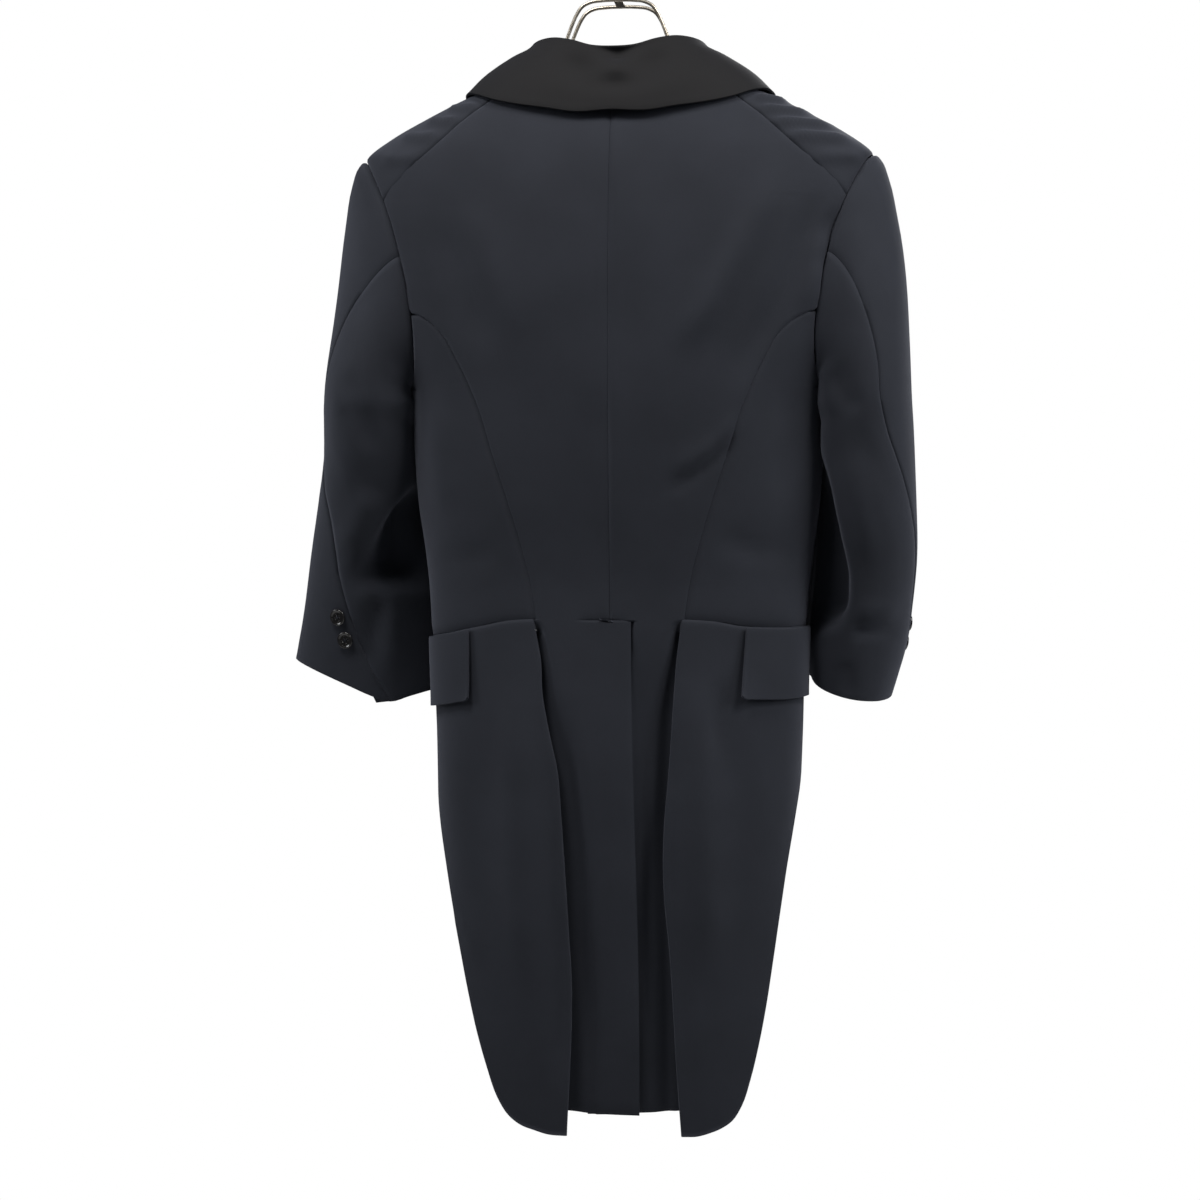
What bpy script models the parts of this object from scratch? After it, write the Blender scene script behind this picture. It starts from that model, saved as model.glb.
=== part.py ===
"""Evening tailcoat on a bent-steel hanger, seen from the back in the photograph.

The back faces -Y and the front faces +Y. The origin is the hang point, under the top of the hanger's
loop, and the coat hangs below it. Lengths in this file are millimetres until a mesh is made.
"""
import math

import bmesh
import bpy
import numpy as np

CLOTH = 2.0
SEAM_BACK_OFF = 0.22
ROUNDNESS = 2.4
WAIST_Z = -549.0
ARMHOLE_TOP = -136.0
ARMHOLE_BOTTOM = -340.0
VENT_TOP = -536.0
BACK_HEM = -960.0
ROD_RADIUS = 1.6
ROD_SPREAD = 16.0
NECK_X = 72.0

# height, half width, depth to the back, depth to the front
TORSO = [
    (-50.0, 0.5, 44.0, 42.0),
    (-57.0, 30.0, 49.0, 47.0),
    (-59.5, 55.0, 51.0, 49.0),
    (-62.0, 72.0, 53.0, 50.5),
    (-68.0, 92.0, 56.5, 53.0),
    (-76.0, 117.0, 60.5, 56.5),
    (-84.0, 137.0, 64.5, 60.0),
    (-101.0, 171.0, 72.5, 67.0),
    (-119.0, 203.0, 80.5, 74.0),
    (-136.0, 224.0, 87.0, 80.0),
    (-160.0, 226.0, 93.5, 87.0),
    (-200.0, 224.0, 100.0, 94.0),
    (-250.0, 214.0, 103.5, 99.0),
    (-300.0, 199.0, 104.0, 102.0),
    (-340.0, 183.5, 103.0, 104.0),
    (-390.0, 180.0, 99.0, 104.0),
    (-440.0, 177.0, 94.0, 101.0),
    (-482.0, 171.0, 89.0, 96.0),
    (-515.0, 167.0, 86.0, 92.5),
    (-560.0, 164.0, 87.0, 91.5),
    (-611.0, 161.5, 91.0, 93.0),
    (-700.0, 159.0, 97.0, 95.0),
    (-800.0, 156.5, 97.5, 95.0),
    (-990.0, 154.0, 93.0, 93.0),
]

# height, half width of the body where the sleeve is set in
ARMHOLE = [
    (-136.0, 224.0),
    (-139.0, 221.0),
    (-146.0, 216.4),
    (-156.0, 211.0),
    (-168.0, 205.0),
    (-183.0, 198.5),
    (-202.0, 191.8),
    (-226.0, 185.2),
    (-250.0, 179.5),
    (-275.0, 175.5),
    (-298.0, 173.8),
    (-316.0, 174.2),
    (-327.0, 176.0),
    (-333.5, 178.6),
    (-337.5, 181.0),
    (-339.5, 182.6),
    (-340.0, 183.5),
]

# height, distance from the middle of the back
SIDE_BACK_SEAM = [
    (-275.0, 175.5),
    (-278.0, 168.0),
    (-287.0, 154.0),
    (-299.0, 143.0),
    (-315.0, 134.0),
    (-340.0, 121.5),
    (-365.0, 111.5),
    (-395.0, 102.5),
    (-425.0, 92.5),
    (-455.0, 83.0),
    (-485.0, 74.5),
    (-515.0, 67.6),
    (-540.0, 64.0),
]

# distance from the middle, height of the seam set back from the shoulder line
SHOULDER_SEAM = [
    (72.0, -66.0),
    (98.0, -81.0),
    (125.0, -100.0),
    (165.0, -134.5),
    (205.0, -168.0),
]

# height, distance of the front opening from the middle
ROLL_LINE = [
    (-66.0, 72.0),
    (-90.0, 70.0),
    (-120.0, 66.0),
    (-200.0, 54.0),
    (-300.0, 37.0),
    (-400.0, 15.0),
    (-440.0, 2.0),
    (-468.0, -10.0),
]

# height, inner edge of the left tail, inner edge of the right tail
TAIL_EDGE = [
    (-540.0, 67.5, 63.0),
    (-565.0, 62.0, 60.0),
    (-613.0, 58.5, 56.5),
    (-664.0, 47.5, 53.5),
    (-708.0, 43.5, 50.0),
    (-760.0, 40.0, 48.5),
    (-800.0, 37.5, 52.0),
    (-855.0, 34.5, 56.0),
    (-920.0, 35.5, 59.5),
    (-985.0, 38.0, 64.0),
]

# angle round from the back, height where the tail is cut away
CUTAWAY = [
    (16.0, -974.0),
    (22.0, -980.0),
    (30.0, -973.0),
    (42.0, -960.0),
    (54.0, -878.0),
    (66.0, -790.0),
    (80.0, -712.0),
    (100.0, -656.0),
    (120.0, -622.0),
    (150.0, -582.0),
    (176.0, -560.0),
]

# height, middle distance out, half width, half depth, middle depth,
# how far the cloth leans in to the body at its back and at its front,
# how far the cloth leans in to the body at its back and at its front
SLEEVE_LEFT = [
    (-352.0, 223.0, 39.0, 78.0, 6.0, 10.0, 8.0),
    (-395.0, 222.7, 41.3, 74.0, 12.0, 8.0, 8.0),
    (-437.0, 224.5, 46.5, 66.0, 20.0, 4.0, 10.0),
    (-482.0, 223.8, 54.8, 57.0, 30.0, 0.0, 12.0),
    (-540.0, 225.5, 62.5, 49.0, 40.0, 0.0, 8.0),
    (-590.0, 228.8, 68.8, 45.0, 46.0, 0.0, 6.0),
]
SLEEVE_RIGHT = [
    (-352.0, 220.5, 36.1, 78.0, 4.0, 12.0, 6.0),
    (-395.0, 220.5, 38.6, 74.0, 6.0, 12.0, 7.0),
    (-437.0, 219.9, 41.1, 70.0, 8.0, 9.0, 10.0),
    (-482.0, 217.6, 43.4, 64.0, 17.0, 2.0, 17.0),
    (-540.0, 210.8, 43.7, 59.0, 28.0, 0.0, 19.0),
    (-590.0, 204.0, 35.6, 56.0, 35.0, 0.0, 17.0),
]
# share of the way down the sleeve, angle of the elbow seam from the outer side
ELBOW_SEAM_LEFT = [(0.0, 20.0), (0.12, 12.0), (0.22, 24.0), (0.42, 54.0), (0.64, 68.0), (0.73, 76.0),
                   (0.84, 87.0), (1.0, 111.0)]
ELBOW_SEAM_RIGHT = [(0.0, 74.0), (0.12, 64.0), (0.32, 36.0), (0.5, 14.0), (0.75, 6.0), (1.0, 4.0)]
ELBOW_START = 7
FRONT_SEAM_START = 10
FRONT_SEAM_ANGLE = -104.0

# fold point x, y, z, then the outer edge's x and its place over the shoulder line
COLLAR = [
    (0.0, -57.0, -47.5, 0.0, -7.55),
    (20.0, -55.5, -44.0, 33.0, -7.15),
    (41.0, -48.0, -37.0, 62.0, -6.5),
    (58.0, -36.0, -34.0, 92.0, -5.4),
    (70.0, -19.0, -34.5, 116.0, -3.5),
    (75.5, 0.0, -36.5, 130.0, -1.4),
    (77.5, 16.0, -42.0, 136.0, 0.9),
    (77.5, 31.0, -52.0, 134.0, 3.2),
]


def curve(rows, key, column=1):
    """Smooth value at key from rows sorted by their first column, rising or falling."""
    if rows[0][0] > rows[-1][0]:
        rows = rows[::-1]
    keys = [row[0] for row in rows]
    if key <= keys[0]:
        return rows[0][column]
    if key >= keys[-1]:
        return rows[-1][column]
    place = int(np.searchsorted(keys, key, side="right")) - 1
    slopes = []
    for at in (place, place + 1):
        before = max(at - 1, 0)
        after = min(at + 1, len(rows) - 1)
        slopes.append((rows[after][column] - rows[before][column]) / (keys[after] - keys[before]))
    width = keys[place + 1] - keys[place]
    rise = rows[place + 1][column] - rows[place][column]
    steep = abs(3.0 * rise / width)
    slopes = [0.0 if slope * rise < 0.0 else max(-steep, min(steep, slope)) for slope in slopes]
    t = (key - keys[place]) / width
    straight = rows[place][column] + rise * t
    start_bend = (slopes[0] * width - rise) * t * (1.0 - t) ** 2
    end_bend = (rise - slopes[1] * width) * t * t * (1.0 - t)
    return straight + start_bend + end_bend


def blend(start, end, share):
    return start + (end - start) * share


def ease(value, start, end):
    share = max(0.0, min(1.0, (value - start) / (end - start)))
    return share * share * (3.0 - 2.0 * share)


def ridge(x):
    """Height of the shoulder line at a distance from the middle."""
    rows = [(row[1], row[0]) for row in TORSO[:10]]
    return curve(rows, abs(x))


def half_depth(x, z, front):
    width = max(curve(TORSO, z, 1), 0.1)
    depth = curve(TORSO, z, 3 if front else 2)
    share = min(abs(x) / width, 1.0)
    return depth * (1.0 - share ** ROUNDNESS) ** (1.0 / ROUNDNESS)


def facing(point):
    """Unit direction straight out of the torso's form at a point on it."""
    def form(x, y, z):
        depth = curve(TORSO, z, 3 if y > 0.0 else 2)
        width = curve(TORSO, z, 1)
        return (abs(x) / width) ** ROUNDNESS + (abs(y) / depth) ** ROUNDNESS

    x, y, z = point
    step = 0.4
    way = np.array([
        form(x + step, y, z) - form(x - step, y, z),
        form(x, y + step, z) - form(x, y - step, z),
        form(x, y, z + step) - form(x, y, z - step),
    ])
    return way / np.linalg.norm(way)


def angle_at(x, z):
    """Angle round from the back's middle of a point x out at height z, up to 90 degrees."""
    width = curve(TORSO, z, 1)
    return math.degrees(math.asin(min(abs(x) / width, 1.0) ** (ROUNDNESS / 2.0)))


def by_angle(side, angle, z):
    """Point on the torso, with angle 0 at the back's middle, 90 at the side and 180 in front."""
    width = curve(TORSO, z, 1)
    depth = curve(TORSO, z, 2 if angle <= 90.0 else 3)
    s = math.sin(math.radians(angle))
    c = math.cos(math.radians(angle))
    x = math.copysign(width * abs(s) ** (2.0 / ROUNDNESS), side * s)
    y = -math.copysign(depth * abs(c) ** (2.0 / ROUNDNESS), c)
    return np.array([x, y, z])


def over_shoulder(side, x, q):
    """Point over the shoulder: q is 0 on the shoulder line, below zero behind it, above in front."""
    z = ridge(x) - q * q
    y = math.copysign(half_depth(x, z, q > 0.0), q)
    return np.array([side * x, y, z])


def q_at(x, z, front):
    q = math.sqrt(max(ridge(x) - z, 0.0))
    return q if front else -q


def wall_mesh(outer, inner, flip):
    """Closed body between two grids of points, given as lists of rows."""
    mesh = bmesh.new()
    rows = len(outer)
    columns = len(outer[0])
    skins = []
    for grid in (outer, inner):
        skins.append([[mesh.verts.new([v * 0.001 for v in point]) for point in row] for row in grid])

    def quad(a, b, c, d):
        ring = [a, b, c, d]
        mesh.faces.new(ring[::-1] if flip else ring)

    for r in range(rows - 1):
        for c in range(columns - 1):
            top, under = skins
            quad(top[r][c], top[r][c + 1], top[r + 1][c + 1], top[r + 1][c])
            quad(under[r][c], under[r + 1][c], under[r + 1][c + 1], under[r][c + 1])
    for c in range(columns - 1):
        quad(skins[0][0][c + 1], skins[0][0][c], skins[1][0][c], skins[1][0][c + 1])
        quad(skins[0][-1][c], skins[0][-1][c + 1], skins[1][-1][c + 1], skins[1][-1][c])
    for r in range(rows - 1):
        quad(skins[0][r][0], skins[0][r + 1][0], skins[1][r + 1][0], skins[1][r][0])
        quad(skins[0][r + 1][-1], skins[0][r][-1], skins[1][r][-1], skins[1][r + 1][-1])
    return mesh


def add_object(name, mesh, material, smooth=True):
    data = bpy.data.meshes.new(name)
    bmesh.ops.recalc_face_normals(mesh, faces=mesh.faces)
    mesh.to_mesh(data)
    mesh.free()
    data.materials.append(material)
    for face in data.polygons:
        face.use_smooth = smooth
    body = bpy.data.objects.new(name, data)
    coat.objects.link(body)
    return body


def pull_back(grid, amount, edges="lrtb"):
    """Moves the borders of a grid inward, so that neighbours keep a seam's gap."""
    points = [[np.array(p, float) for p in row] for row in grid]

    def toward(edge, inside):
        way = inside - edge
        return edge + way / max(np.linalg.norm(way), 1e-6) * amount

    for row in points:
        if "l" in edges:
            row[0] = toward(row[0], row[1])
        if "r" in edges:
            row[-1] = toward(row[-1], row[-2])
    for c in range(len(points[0])):
        if "t" in edges:
            points[0][c] = toward(points[0][c], points[1][c])
        if "b" in edges:
            points[-1][c] = toward(points[-1][c], points[-2][c])
    return points


def torso_panel(name, grid, material, lift=None, edges="lrtb"):
    """Cloth wall on the torso's form, with lift(point) moving it out or in."""
    points = pull_back(grid, SEAM_BACK_OFF, edges)
    outer = []
    inner = []
    for row in points:
        outer_row = []
        inner_row = []
        for point in row:
            way = facing(point)
            out = lift(point) if lift else 0.0
            outer_row.append(point + way * out)
            inner_row.append(point + way * (out - CLOTH))
        outer.append(outer_row)
        inner.append(inner_row)
    return add_object(name, wall_mesh(outer, inner, False), material)


def grid_normals(grid, closed):
    """Unit directions across a grid of points."""
    points = np.array(grid)
    if closed:
        along = np.roll(points, -1, axis=1) - np.roll(points, 1, axis=1)
    else:
        along = np.gradient(points, axis=1)
    down = np.gradient(points, axis=0)
    ways = np.cross(along, down)
    return ways / np.maximum(np.linalg.norm(ways, axis=2, keepdims=True), 1e-9)


def tail_recess(side, point):
    """How far the centre back lies under the tails, below the waist."""
    depth = 9.5 * ease(-point[2], 539.5, 550.0)
    return -(depth + 5.0 * ease(-point[2], 560.0, 940.0))


def back_lift(side, point):
    lift = tail_recess(side, point)
    if side > 0:
        lift -= 3.0 * ease(-point[2], 527.0, 536.0)
    return lift


# heights shared by the back and the side body along their seam
BACK_HEIGHTS = [-183.0, -202.0, -226.0, -250.0, -275.0]
SEAM_HEIGHTS = [row[0] for row in SIDE_BACK_SEAM]
TAIL_HEIGHTS = [-546.0, -552.0, -575.0, -620.0, -670.0, -720.0, -780.0, -840.0, -900.0]


def back_panel(side, material):
    rows = []
    columns = 9
    shares = [i / (columns - 1) for i in range(columns)]
    tops = [(-73.0, 72.0), (-84.0, 84.0), (-98.0, 103.0), (-118.0, 127.0), (-142.0, 158.0),
            (-168.0, 205.0)]
    for middle, edge_x in tops:
        edge_z = curve(SHOULDER_SEAM, edge_x)
        row = []
        for share in shares:
            x = edge_x * share
            z = blend(middle, edge_z, share ** 1.6)
            row.append(np.array([side * x, -half_depth(x, z, False), z]))
        rows.append(row)
    for z in BACK_HEIGHTS[:-1]:
        far = angle_at(curve(ARMHOLE, z), z)
        rows.append([by_angle(side, far * share, z) for share in shares])
    for z in SEAM_HEIGHTS:
        far = angle_at(curve(SIDE_BACK_SEAM, z), z)
        rows.append([by_angle(side, far * share, z) for share in shares])
    lap = 8.0
    for z in TAIL_HEIGHTS + [BACK_HEM]:
        reach = 31.0 * ease(-z, 546.0, 600.0)
        edge = curve(TAIL_EDGE, z, 1 if side < 0 else 2) + reach
        start = -lap * 3.1 * ease(-z, 540.0, 620.0) if side < 0 else -12.0 * ease(-z, 536.0, 600.0)
        row = []
        for share in shares:
            x = blend(start, edge, share)
            hem = z - (4.0 * (1.0 - share) if z == BACK_HEM else 0.0)
            row.append(np.array([side * x, -half_depth(x, hem, False), hem]))
        rows.append(row)
    name = "back_left" if side < 0 else "back_right"
    return torso_panel(name, rows, material, lambda p: back_lift(side, p))


def side_body(side, material):
    shares = [i / 6.0 for i in range(7)]
    rows = []
    lower = [z for z in SEAM_HEIGHTS if z < -340.0]
    armhole = [z for z, _ in ARMHOLE if z <= -298.0]
    heights = sorted(set([-278.0, -287.0] + armhole + lower), reverse=True)
    for z in heights[:-1]:
        near = angle_at(curve(SIDE_BACK_SEAM, z), z)
        far = angle_at(curve(ARMHOLE, z), z) if z > ARMHOLE_BOTTOM else 90.0
        rows.append([by_angle(side, blend(near, far, share), z) for share in shares])
    waist = []
    for share in shares:
        angle = blend(angle_at(64.0, -540.0), 90.0, share)
        waist.append(by_angle(side, angle, waist_height(side, angle)))
    rows.append(waist)
    name = "side_body_left" if side < 0 else "side_body_right"
    return torso_panel(name, rows, material)


def waist_height(side, angle):
    left = [(0.0, -539.0), (26.0, -540.5), (40.0, -546.0), (60.0, -552.0), (90.0, -554.5), (180.0, -549.0)]
    right = [(0.0, -539.0), (26.0, -541.0), (40.0, -546.0), (60.0, -547.0), (90.0, -544.5), (180.0, -549.0)]
    return curve(left if side < 0 else right, angle)


def front_lift(side, point):
    """The left front laps over the right one where the coat is closed."""
    if side < 0:
        return 0.0
    return -3.0 * ease(-point[2], 395.0, 425.0) * ease(-point[0], -45.0, -16.0)


def front_panel(side, material):
    columns = 10
    shares = [i / (columns - 1) for i in range(columns)]
    rows = []
    back_levels = [row for row in ARMHOLE if row[0] >= -168.0][::-1]
    neck = [-66.0, -64.5, -63.2, -62.4, -62.0]
    seam_pull = [0.9, 0.6, 0.32, 0.1, 0.0]
    for level, neck_z in zip(back_levels, neck):
        z, x = level
        start = q_at(NECK_X, neck_z, False)
        end = q_at(x, z, False)
        rows.append(shoulder_row(side, NECK_X, start, x, end, shares, seam_pull[len(rows)]))
    front_levels = [row for row in ARMHOLE if -168.0 <= row[0] < -136.0]
    neck = [(-63.0, 72.0), (-66.0, 72.0), (-76.0, 71.4), (-96.0, 69.4)]
    for level, near in zip(front_levels, neck):
        z, x = level
        start = q_at(near[1], near[0], True)
        end = q_at(x, z, True)
        rows.append(shoulder_row(side, near[1], start, x, end, shares))
    upper = [row[0] for row in ARMHOLE if row[0] < -168.0]
    spread = [-122.0, -148.0, -175.0, -201.0, -227.0, -252.0, -275.0, -294.0, -309.0, -322.0, -332.0, -340.0]
    for z, opening_z in zip(upper, spread):
        near_x = curve(ROLL_LINE, opening_z)
        near = 180.0 - angle_at(near_x, opening_z)
        far = 180.0 - angle_at(curve(ARMHOLE, z), z)
        row = []
        for share in shares:
            level = blend(opening_z, z, share)
            row.append(by_angle(side, blend(near, far, share), level))
        rows.append(row)
    for z in [-365.0, -395.0, -425.0, -455.0, -485.0, -515.0, WAIST_Z]:
        near_x = curve(ROLL_LINE, z)
        near = 180.0 - math.copysign(angle_at(near_x, z), near_x)
        row = []
        for share in shares:
            angle = blend(near, 90.0, share)
            level = waist_height(side, min(angle, 180.0)) if z == WAIST_Z else z
            row.append(by_angle(side, angle, level))
        rows.append(row)
    name = "front_left" if side < 0 else "front_right"
    return torso_panel(name, rows, material, lambda p: front_lift(side, (side * p[0], p[1], p[2])))


def shoulder_row(side, near_x, near_q, far_x, far_q, shares, seam=0.0):
    """Row of points over the shoulder; seam is how far it follows the curve of the shoulder seam."""
    seam_ends = [q_at(x, z, False) for x, z in (SHOULDER_SEAM[0], SHOULDER_SEAM[-1])]
    row = []
    for share in shares:
        x = blend(near_x, far_x, share)
        seam_x = blend(SHOULDER_SEAM[0][0], SHOULDER_SEAM[-1][0], share)
        seam_z = curve(SHOULDER_SEAM, seam_x) + min(1.1, 13.0 * share * (1.0 - share)) + 0.4 * share
        bend = q_at(seam_x, seam_z, False) - blend(seam_ends[0], seam_ends[1], share)
        q = blend(near_q, far_q, share) + bend * seam
        row.append(over_shoulder(side, x, q))
    return row


def skirt_panel(side, material):
    """Tail: outer cloth from the folded inner edge round to the front, with the fold's underlay."""
    column = 1 if side < 0 else 2
    tail_shares = [0.0, 0.06, 0.14, 0.24, 0.34, 0.45, 0.56, 0.67, 0.78, 0.89, 1.0]
    shares = [0.0, 0.04, 0.12, 0.24, 0.36, 0.5, 0.64, 0.78, 0.9, 1.0]
    rows_out = []
    rows_in = []
    for down in tail_shares:
        row_out = []
        row_in = []
        top_angle = angle_at(curve(TAIL_EDGE, -541.0, column), -541.0)
        for turn in (2, 1):
            z = blend(-541.5, -968.0, down)
            x = curve(TAIL_EDGE, z, column) + (26.0 if turn == 2 else 9.0)
            point = np.array([side * x, -half_depth(x, z, False), z])
            way = facing(point)
            row_out.append(point + way * -5.4)
            row_in.append(point + way * (-5.4 + CLOTH * 0.8))
        for share in shares:
            angle_down = blend(top_angle, 176.0, share)
            cut = curve(CUTAWAY, max(angle_down, 22.0))
            top = waist_height(side, angle_down)
            z = blend(top, cut, down)
            edge = curve(TAIL_EDGE, z, column)
            near = angle_at(edge, z)
            shift = (near - top_angle) * (176.0 - angle_down) / (176.0 - top_angle)
            angle = angle_down + shift * ease(down, 0.0, 0.05)
            point = by_angle(side, angle, z)
            way = facing(point)
            out = 0.4 * ease(down, 0.0, 0.1)
            if share == 0.0:
                inward = np.array([-side * 1.6, 0.0, 0.0])
                row_out.append(point + way * -2.4 + inward)
                row_in.append(point + way * -2.5 + inward * -0.4)
            row_out.append(point + way * out)
            row_in.append(point + way * (out - CLOTH))
        rows_out.append(row_out)
        rows_in.append(row_in)
    outer = pull_back(rows_out, 0.55, "t")
    inner = pull_back(rows_in, 0.55, "t")
    name = "skirt_left" if side < 0 else "skirt_right"
    return add_object(name, wall_mesh(outer, inner, False), material)


def flap_panel(side, material):
    """Pocket flap hanging from the waist seam, over the tail."""
    start = 44.5 if side < 0 else 40.5
    end = 116.0
    drops = [0.9, 12.0, 30.0, 48.0, 58.0, 62.0]
    lifts = [1.3, 1.8, 2.4, 2.8, 3.0, 3.1]
    shares = [0.0, 0.04, 0.16, 0.32, 0.5, 0.68, 0.84, 0.96, 1.0]
    outer = []
    inner = []
    for drop, out in zip(drops, lifts):
        outer_row = []
        inner_row = []
        for share in shares:
            angle = blend(start, end, share)
            corner = 0.0
            if drop > 55.0 and (share < 0.02 or share > 0.98):
                corner = 4.0
            z = waist_height(side, angle) - drop + corner
            point = by_angle(side, angle, z)
            way = facing(point)
            outer_row.append(point + way * (out + CLOTH))
            inner_row.append(point + way * out)
        outer.append(outer_row)
        inner.append(inner_row)
    name = "flap_left" if side < 0 else "flap_right"
    return add_object(name, wall_mesh(outer, inner, False), material)


def armhole_loop(side):
    """Points round the armhole: up the back from the bottom, over the top, down the front."""
    back = [by_angle(side, angle_at(x, z), z) for z, x in ARMHOLE[::-1]]
    front = [by_angle(side, 180.0 - angle_at(x, z), z) for z, x in ARMHOLE[1:-1]]
    return back + front


def sleeve_section(side, angle, down):
    """Point on the sleeve: angle 0 on the outer side, 90 at the back; down is 0 under the arm, 1 at the cuff."""
    rows = SLEEVE_LEFT if side < 0 else SLEEVE_RIGHT
    c = math.cos(math.radians(angle))
    s = math.sin(math.radians(angle))
    if side < 0:
        across = 228.8 + 68.8 * c
        back_cuff = -615.0 + max(0.43 * (across - 207.5), 0.3 * (207.5 - across))
        cuff = blend(-588.5 + 12.5 * c, back_cuff, float(ease(s, 0.0, 0.4)))
    else:
        cuff = -599.0 - 7.0 * c - 11.0 * s
    z = blend(-352.0, -590.0, down) + (cuff + 590.0) * ease(down, 0.2, 1.0)
    level = blend(-352.0, -590.0, down)
    out = curve(rows, level, 1) + curve(rows, level, 2) * c
    out -= curve(rows, level, 5) * (2.0 * max(s, 0.0) * max(-c, 0.0)) ** 1.5
    out -= curve(rows, level, 6) * (2.0 * max(-s, 0.0) * max(-c, 0.0)) ** 1.5
    y = curve(rows, level, 4) - curve(rows, level, 3) * s
    return np.array([side * out, y, z])


def sleeve_columns(side):
    """Start points on the armhole with, for each piece, their share across it."""
    loop = armhole_loop(side)
    count = len(loop)
    top = len(ARMHOLE) - 1
    elbow = top - ELBOW_START
    front = top + FRONT_SEAM_START
    upper = list(range(elbow, front + 1))
    under = list(range(front, count)) + list(range(0, elbow + 1))
    pieces = []
    for order in (upper, under):
        points = [loop[i] for i in order]
        lengths = [0.0]
        for a, b in zip(points, points[1:]):
            lengths.append(lengths[-1] + float(np.linalg.norm(b - a)))
        pieces.append((points, [length / lengths[-1] for length in lengths]))
    return pieces


def sleeve_grid(side, piece):
    """Rows of points from the armhole to the cuff for the top (0) or under (1) sleeve."""
    seam = ELBOW_SEAM_LEFT if side < 0 else ELBOW_SEAM_RIGHT
    points, shares = sleeve_columns(side)[piece]

    def angle(share, down):
        elbow = curve(seam, down)
        front = FRONT_SEAM_ANGLE
        if piece == 0:
            return blend(elbow, front, share)
        return blend(front + 360.0, elbow, share)

    rows = []
    middle = np.mean(armhole_loop(side), axis=0)
    for t in (0.0, 0.1, 0.24, 0.42, 0.62, 0.82):
        row = []
        for start, share in zip(points, shares):
            end = sleeve_section(side, angle(share, 0.0), 0.0)
            spoke = start - middle
            spoke = spoke / np.linalg.norm(spoke)
            leave = np.array([side * 0.78, 0.0, -0.35]) + spoke * 0.28
            leave = leave / np.linalg.norm(leave)
            first = start + leave * 0.55
            reach = float(np.linalg.norm(end - start))
            a = first + leave * min(20.0, 0.35 * reach)
            b = end + np.array([0.0, 0.0, min(88.0, 0.42 * reach)])
            u = 1.0 - t
            row.append(first * u ** 3 + a * 3 * u * u * t + b * 3 * u * t * t + end * t ** 3)
        rows.append(row)
    for down in (0.0, 0.12, 0.26, 0.4, 0.55, 0.7, 0.85, 1.0):
        rows.append([sleeve_section(side, angle(share, down), down) for share in shares])
    return rows


def sleeve_piece(side, piece, material):
    grids = [sleeve_grid(side, 0), sleeve_grid(side, 1)]
    ring = [upper[:-1] + under[:-1] for upper, under in zip(grids[0], grids[1])]
    all_ways = grid_normals(ring, True)
    grid = grids[piece]
    first = 0 if piece == 0 else len(grids[0][0]) - 1
    count = len(ring[0])
    ways = np.array([[row[(first + c) % count] for c in range(len(grid[0]))] for row in all_ways])
    middle = len(grid[9]) // 2
    probe = grid[9][middle] - np.array([side * 222.0, 2.0, 0.0])
    if float(np.dot(probe[:2], ways[9][middle][:2])) < 0.0:
        ways = -ways
    outer = pull_back(grid, SEAM_BACK_OFF, "lr")
    inner = [[p - w * CLOTH for p, w in zip(row, way_row)] for row, way_row in zip(outer, ways)]
    kind = "sleeve_top" if piece == 0 else "sleeve_under"
    name = kind + ("_left" if side < 0 else "_right")
    return add_object(name, wall_mesh(outer, inner, side > 0), material)


def collar_neck(station):
    """Point on the body's neck edge under a station of the collar, on the right side."""
    rows = [(0, 0.0, -73.0, 0), (1, 25.0, -72.2, 0), (2, 47.0, -70.2, 0), (3, 63.0, -67.8, 0),
            (4, 71.0, -65.0, 0), (5, 72.0, -62.0, 0), (6, 72.0, -62.6, 1), (7, 72.0, -65.2, 1)]
    at = max(0.0, min(7.0, station))
    low = min(int(at), 6)
    share = at - low
    pair = []
    for row in rows[low:low + 2]:
        pair.append(np.array([row[1], math.copysign(half_depth(row[1], row[2], row[3] == 1), row[3] - 0.5),
                              row[2]]))
    return blend(pair[0], pair[1], share)


def collar_section(station, side):
    """Visible points of the collar across its fold, from the neck seam to the outer edge."""
    rows = [(float(i),) + row for i, row in enumerate(COLLAR)]
    fold = np.array([curve(rows, station, i) for i in (1, 2, 3)])
    edge_x = curve(rows, station, 4)
    edge_q = curve(rows, station, 5)
    edge = over_shoulder(1.0, edge_x, edge_q)
    edge = edge + facing(edge) * 5.0
    neck = collar_neck(station)
    out = edge - fold
    out[2] = 0.0
    out = out / np.linalg.norm(out)
    up = np.array([0.0, 0.0, 1.0])
    rise = fold - neck
    length = max(float(np.linalg.norm(rise)), 4.0)
    rise = rise / length
    start = neck + rise * 0.6 + facing(neck) * 0.45 - out * 2.2
    inside = fold - out * 3.3 - up * 2.6
    outside = fold + out * 3.1 - up * 2.2
    sag = up * 3.4 + out * 1.2
    points = [
        start,
        blend(start, inside, 0.5),
        inside,
        fold - out * 2.1 - up * 0.6,
        fold,
        fold + out * 1.9 - up * 0.5,
        outside,
        blend(outside, edge, 0.3) + sag * 0.8,
        blend(outside, edge, 0.65) + sag,
        edge,
    ]
    return [np.array([side * p[0], p[1], p[2]]) for p in points]


def collar_piece(material):
    stations = [7.0, 6.2, 5.5, 4.8, 4.1, 3.4, 2.6, 1.8, 0.9]
    grid = [collar_section(s, -1.0) for s in stations]
    grid.append(collar_section(0.0, 1.0))
    grid += [collar_section(s, 1.0) for s in stations[::-1]]
    ways = grid_normals(grid, False)
    if ways[9][8][2] < 0.0:
        ways = -ways
    inner = [[p - w * 2.2 for p, w in zip(row, way_row)] for row, way_row in zip(grid, ways)]
    return add_object("collar", wall_mesh(grid, inner, False), material)


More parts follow.
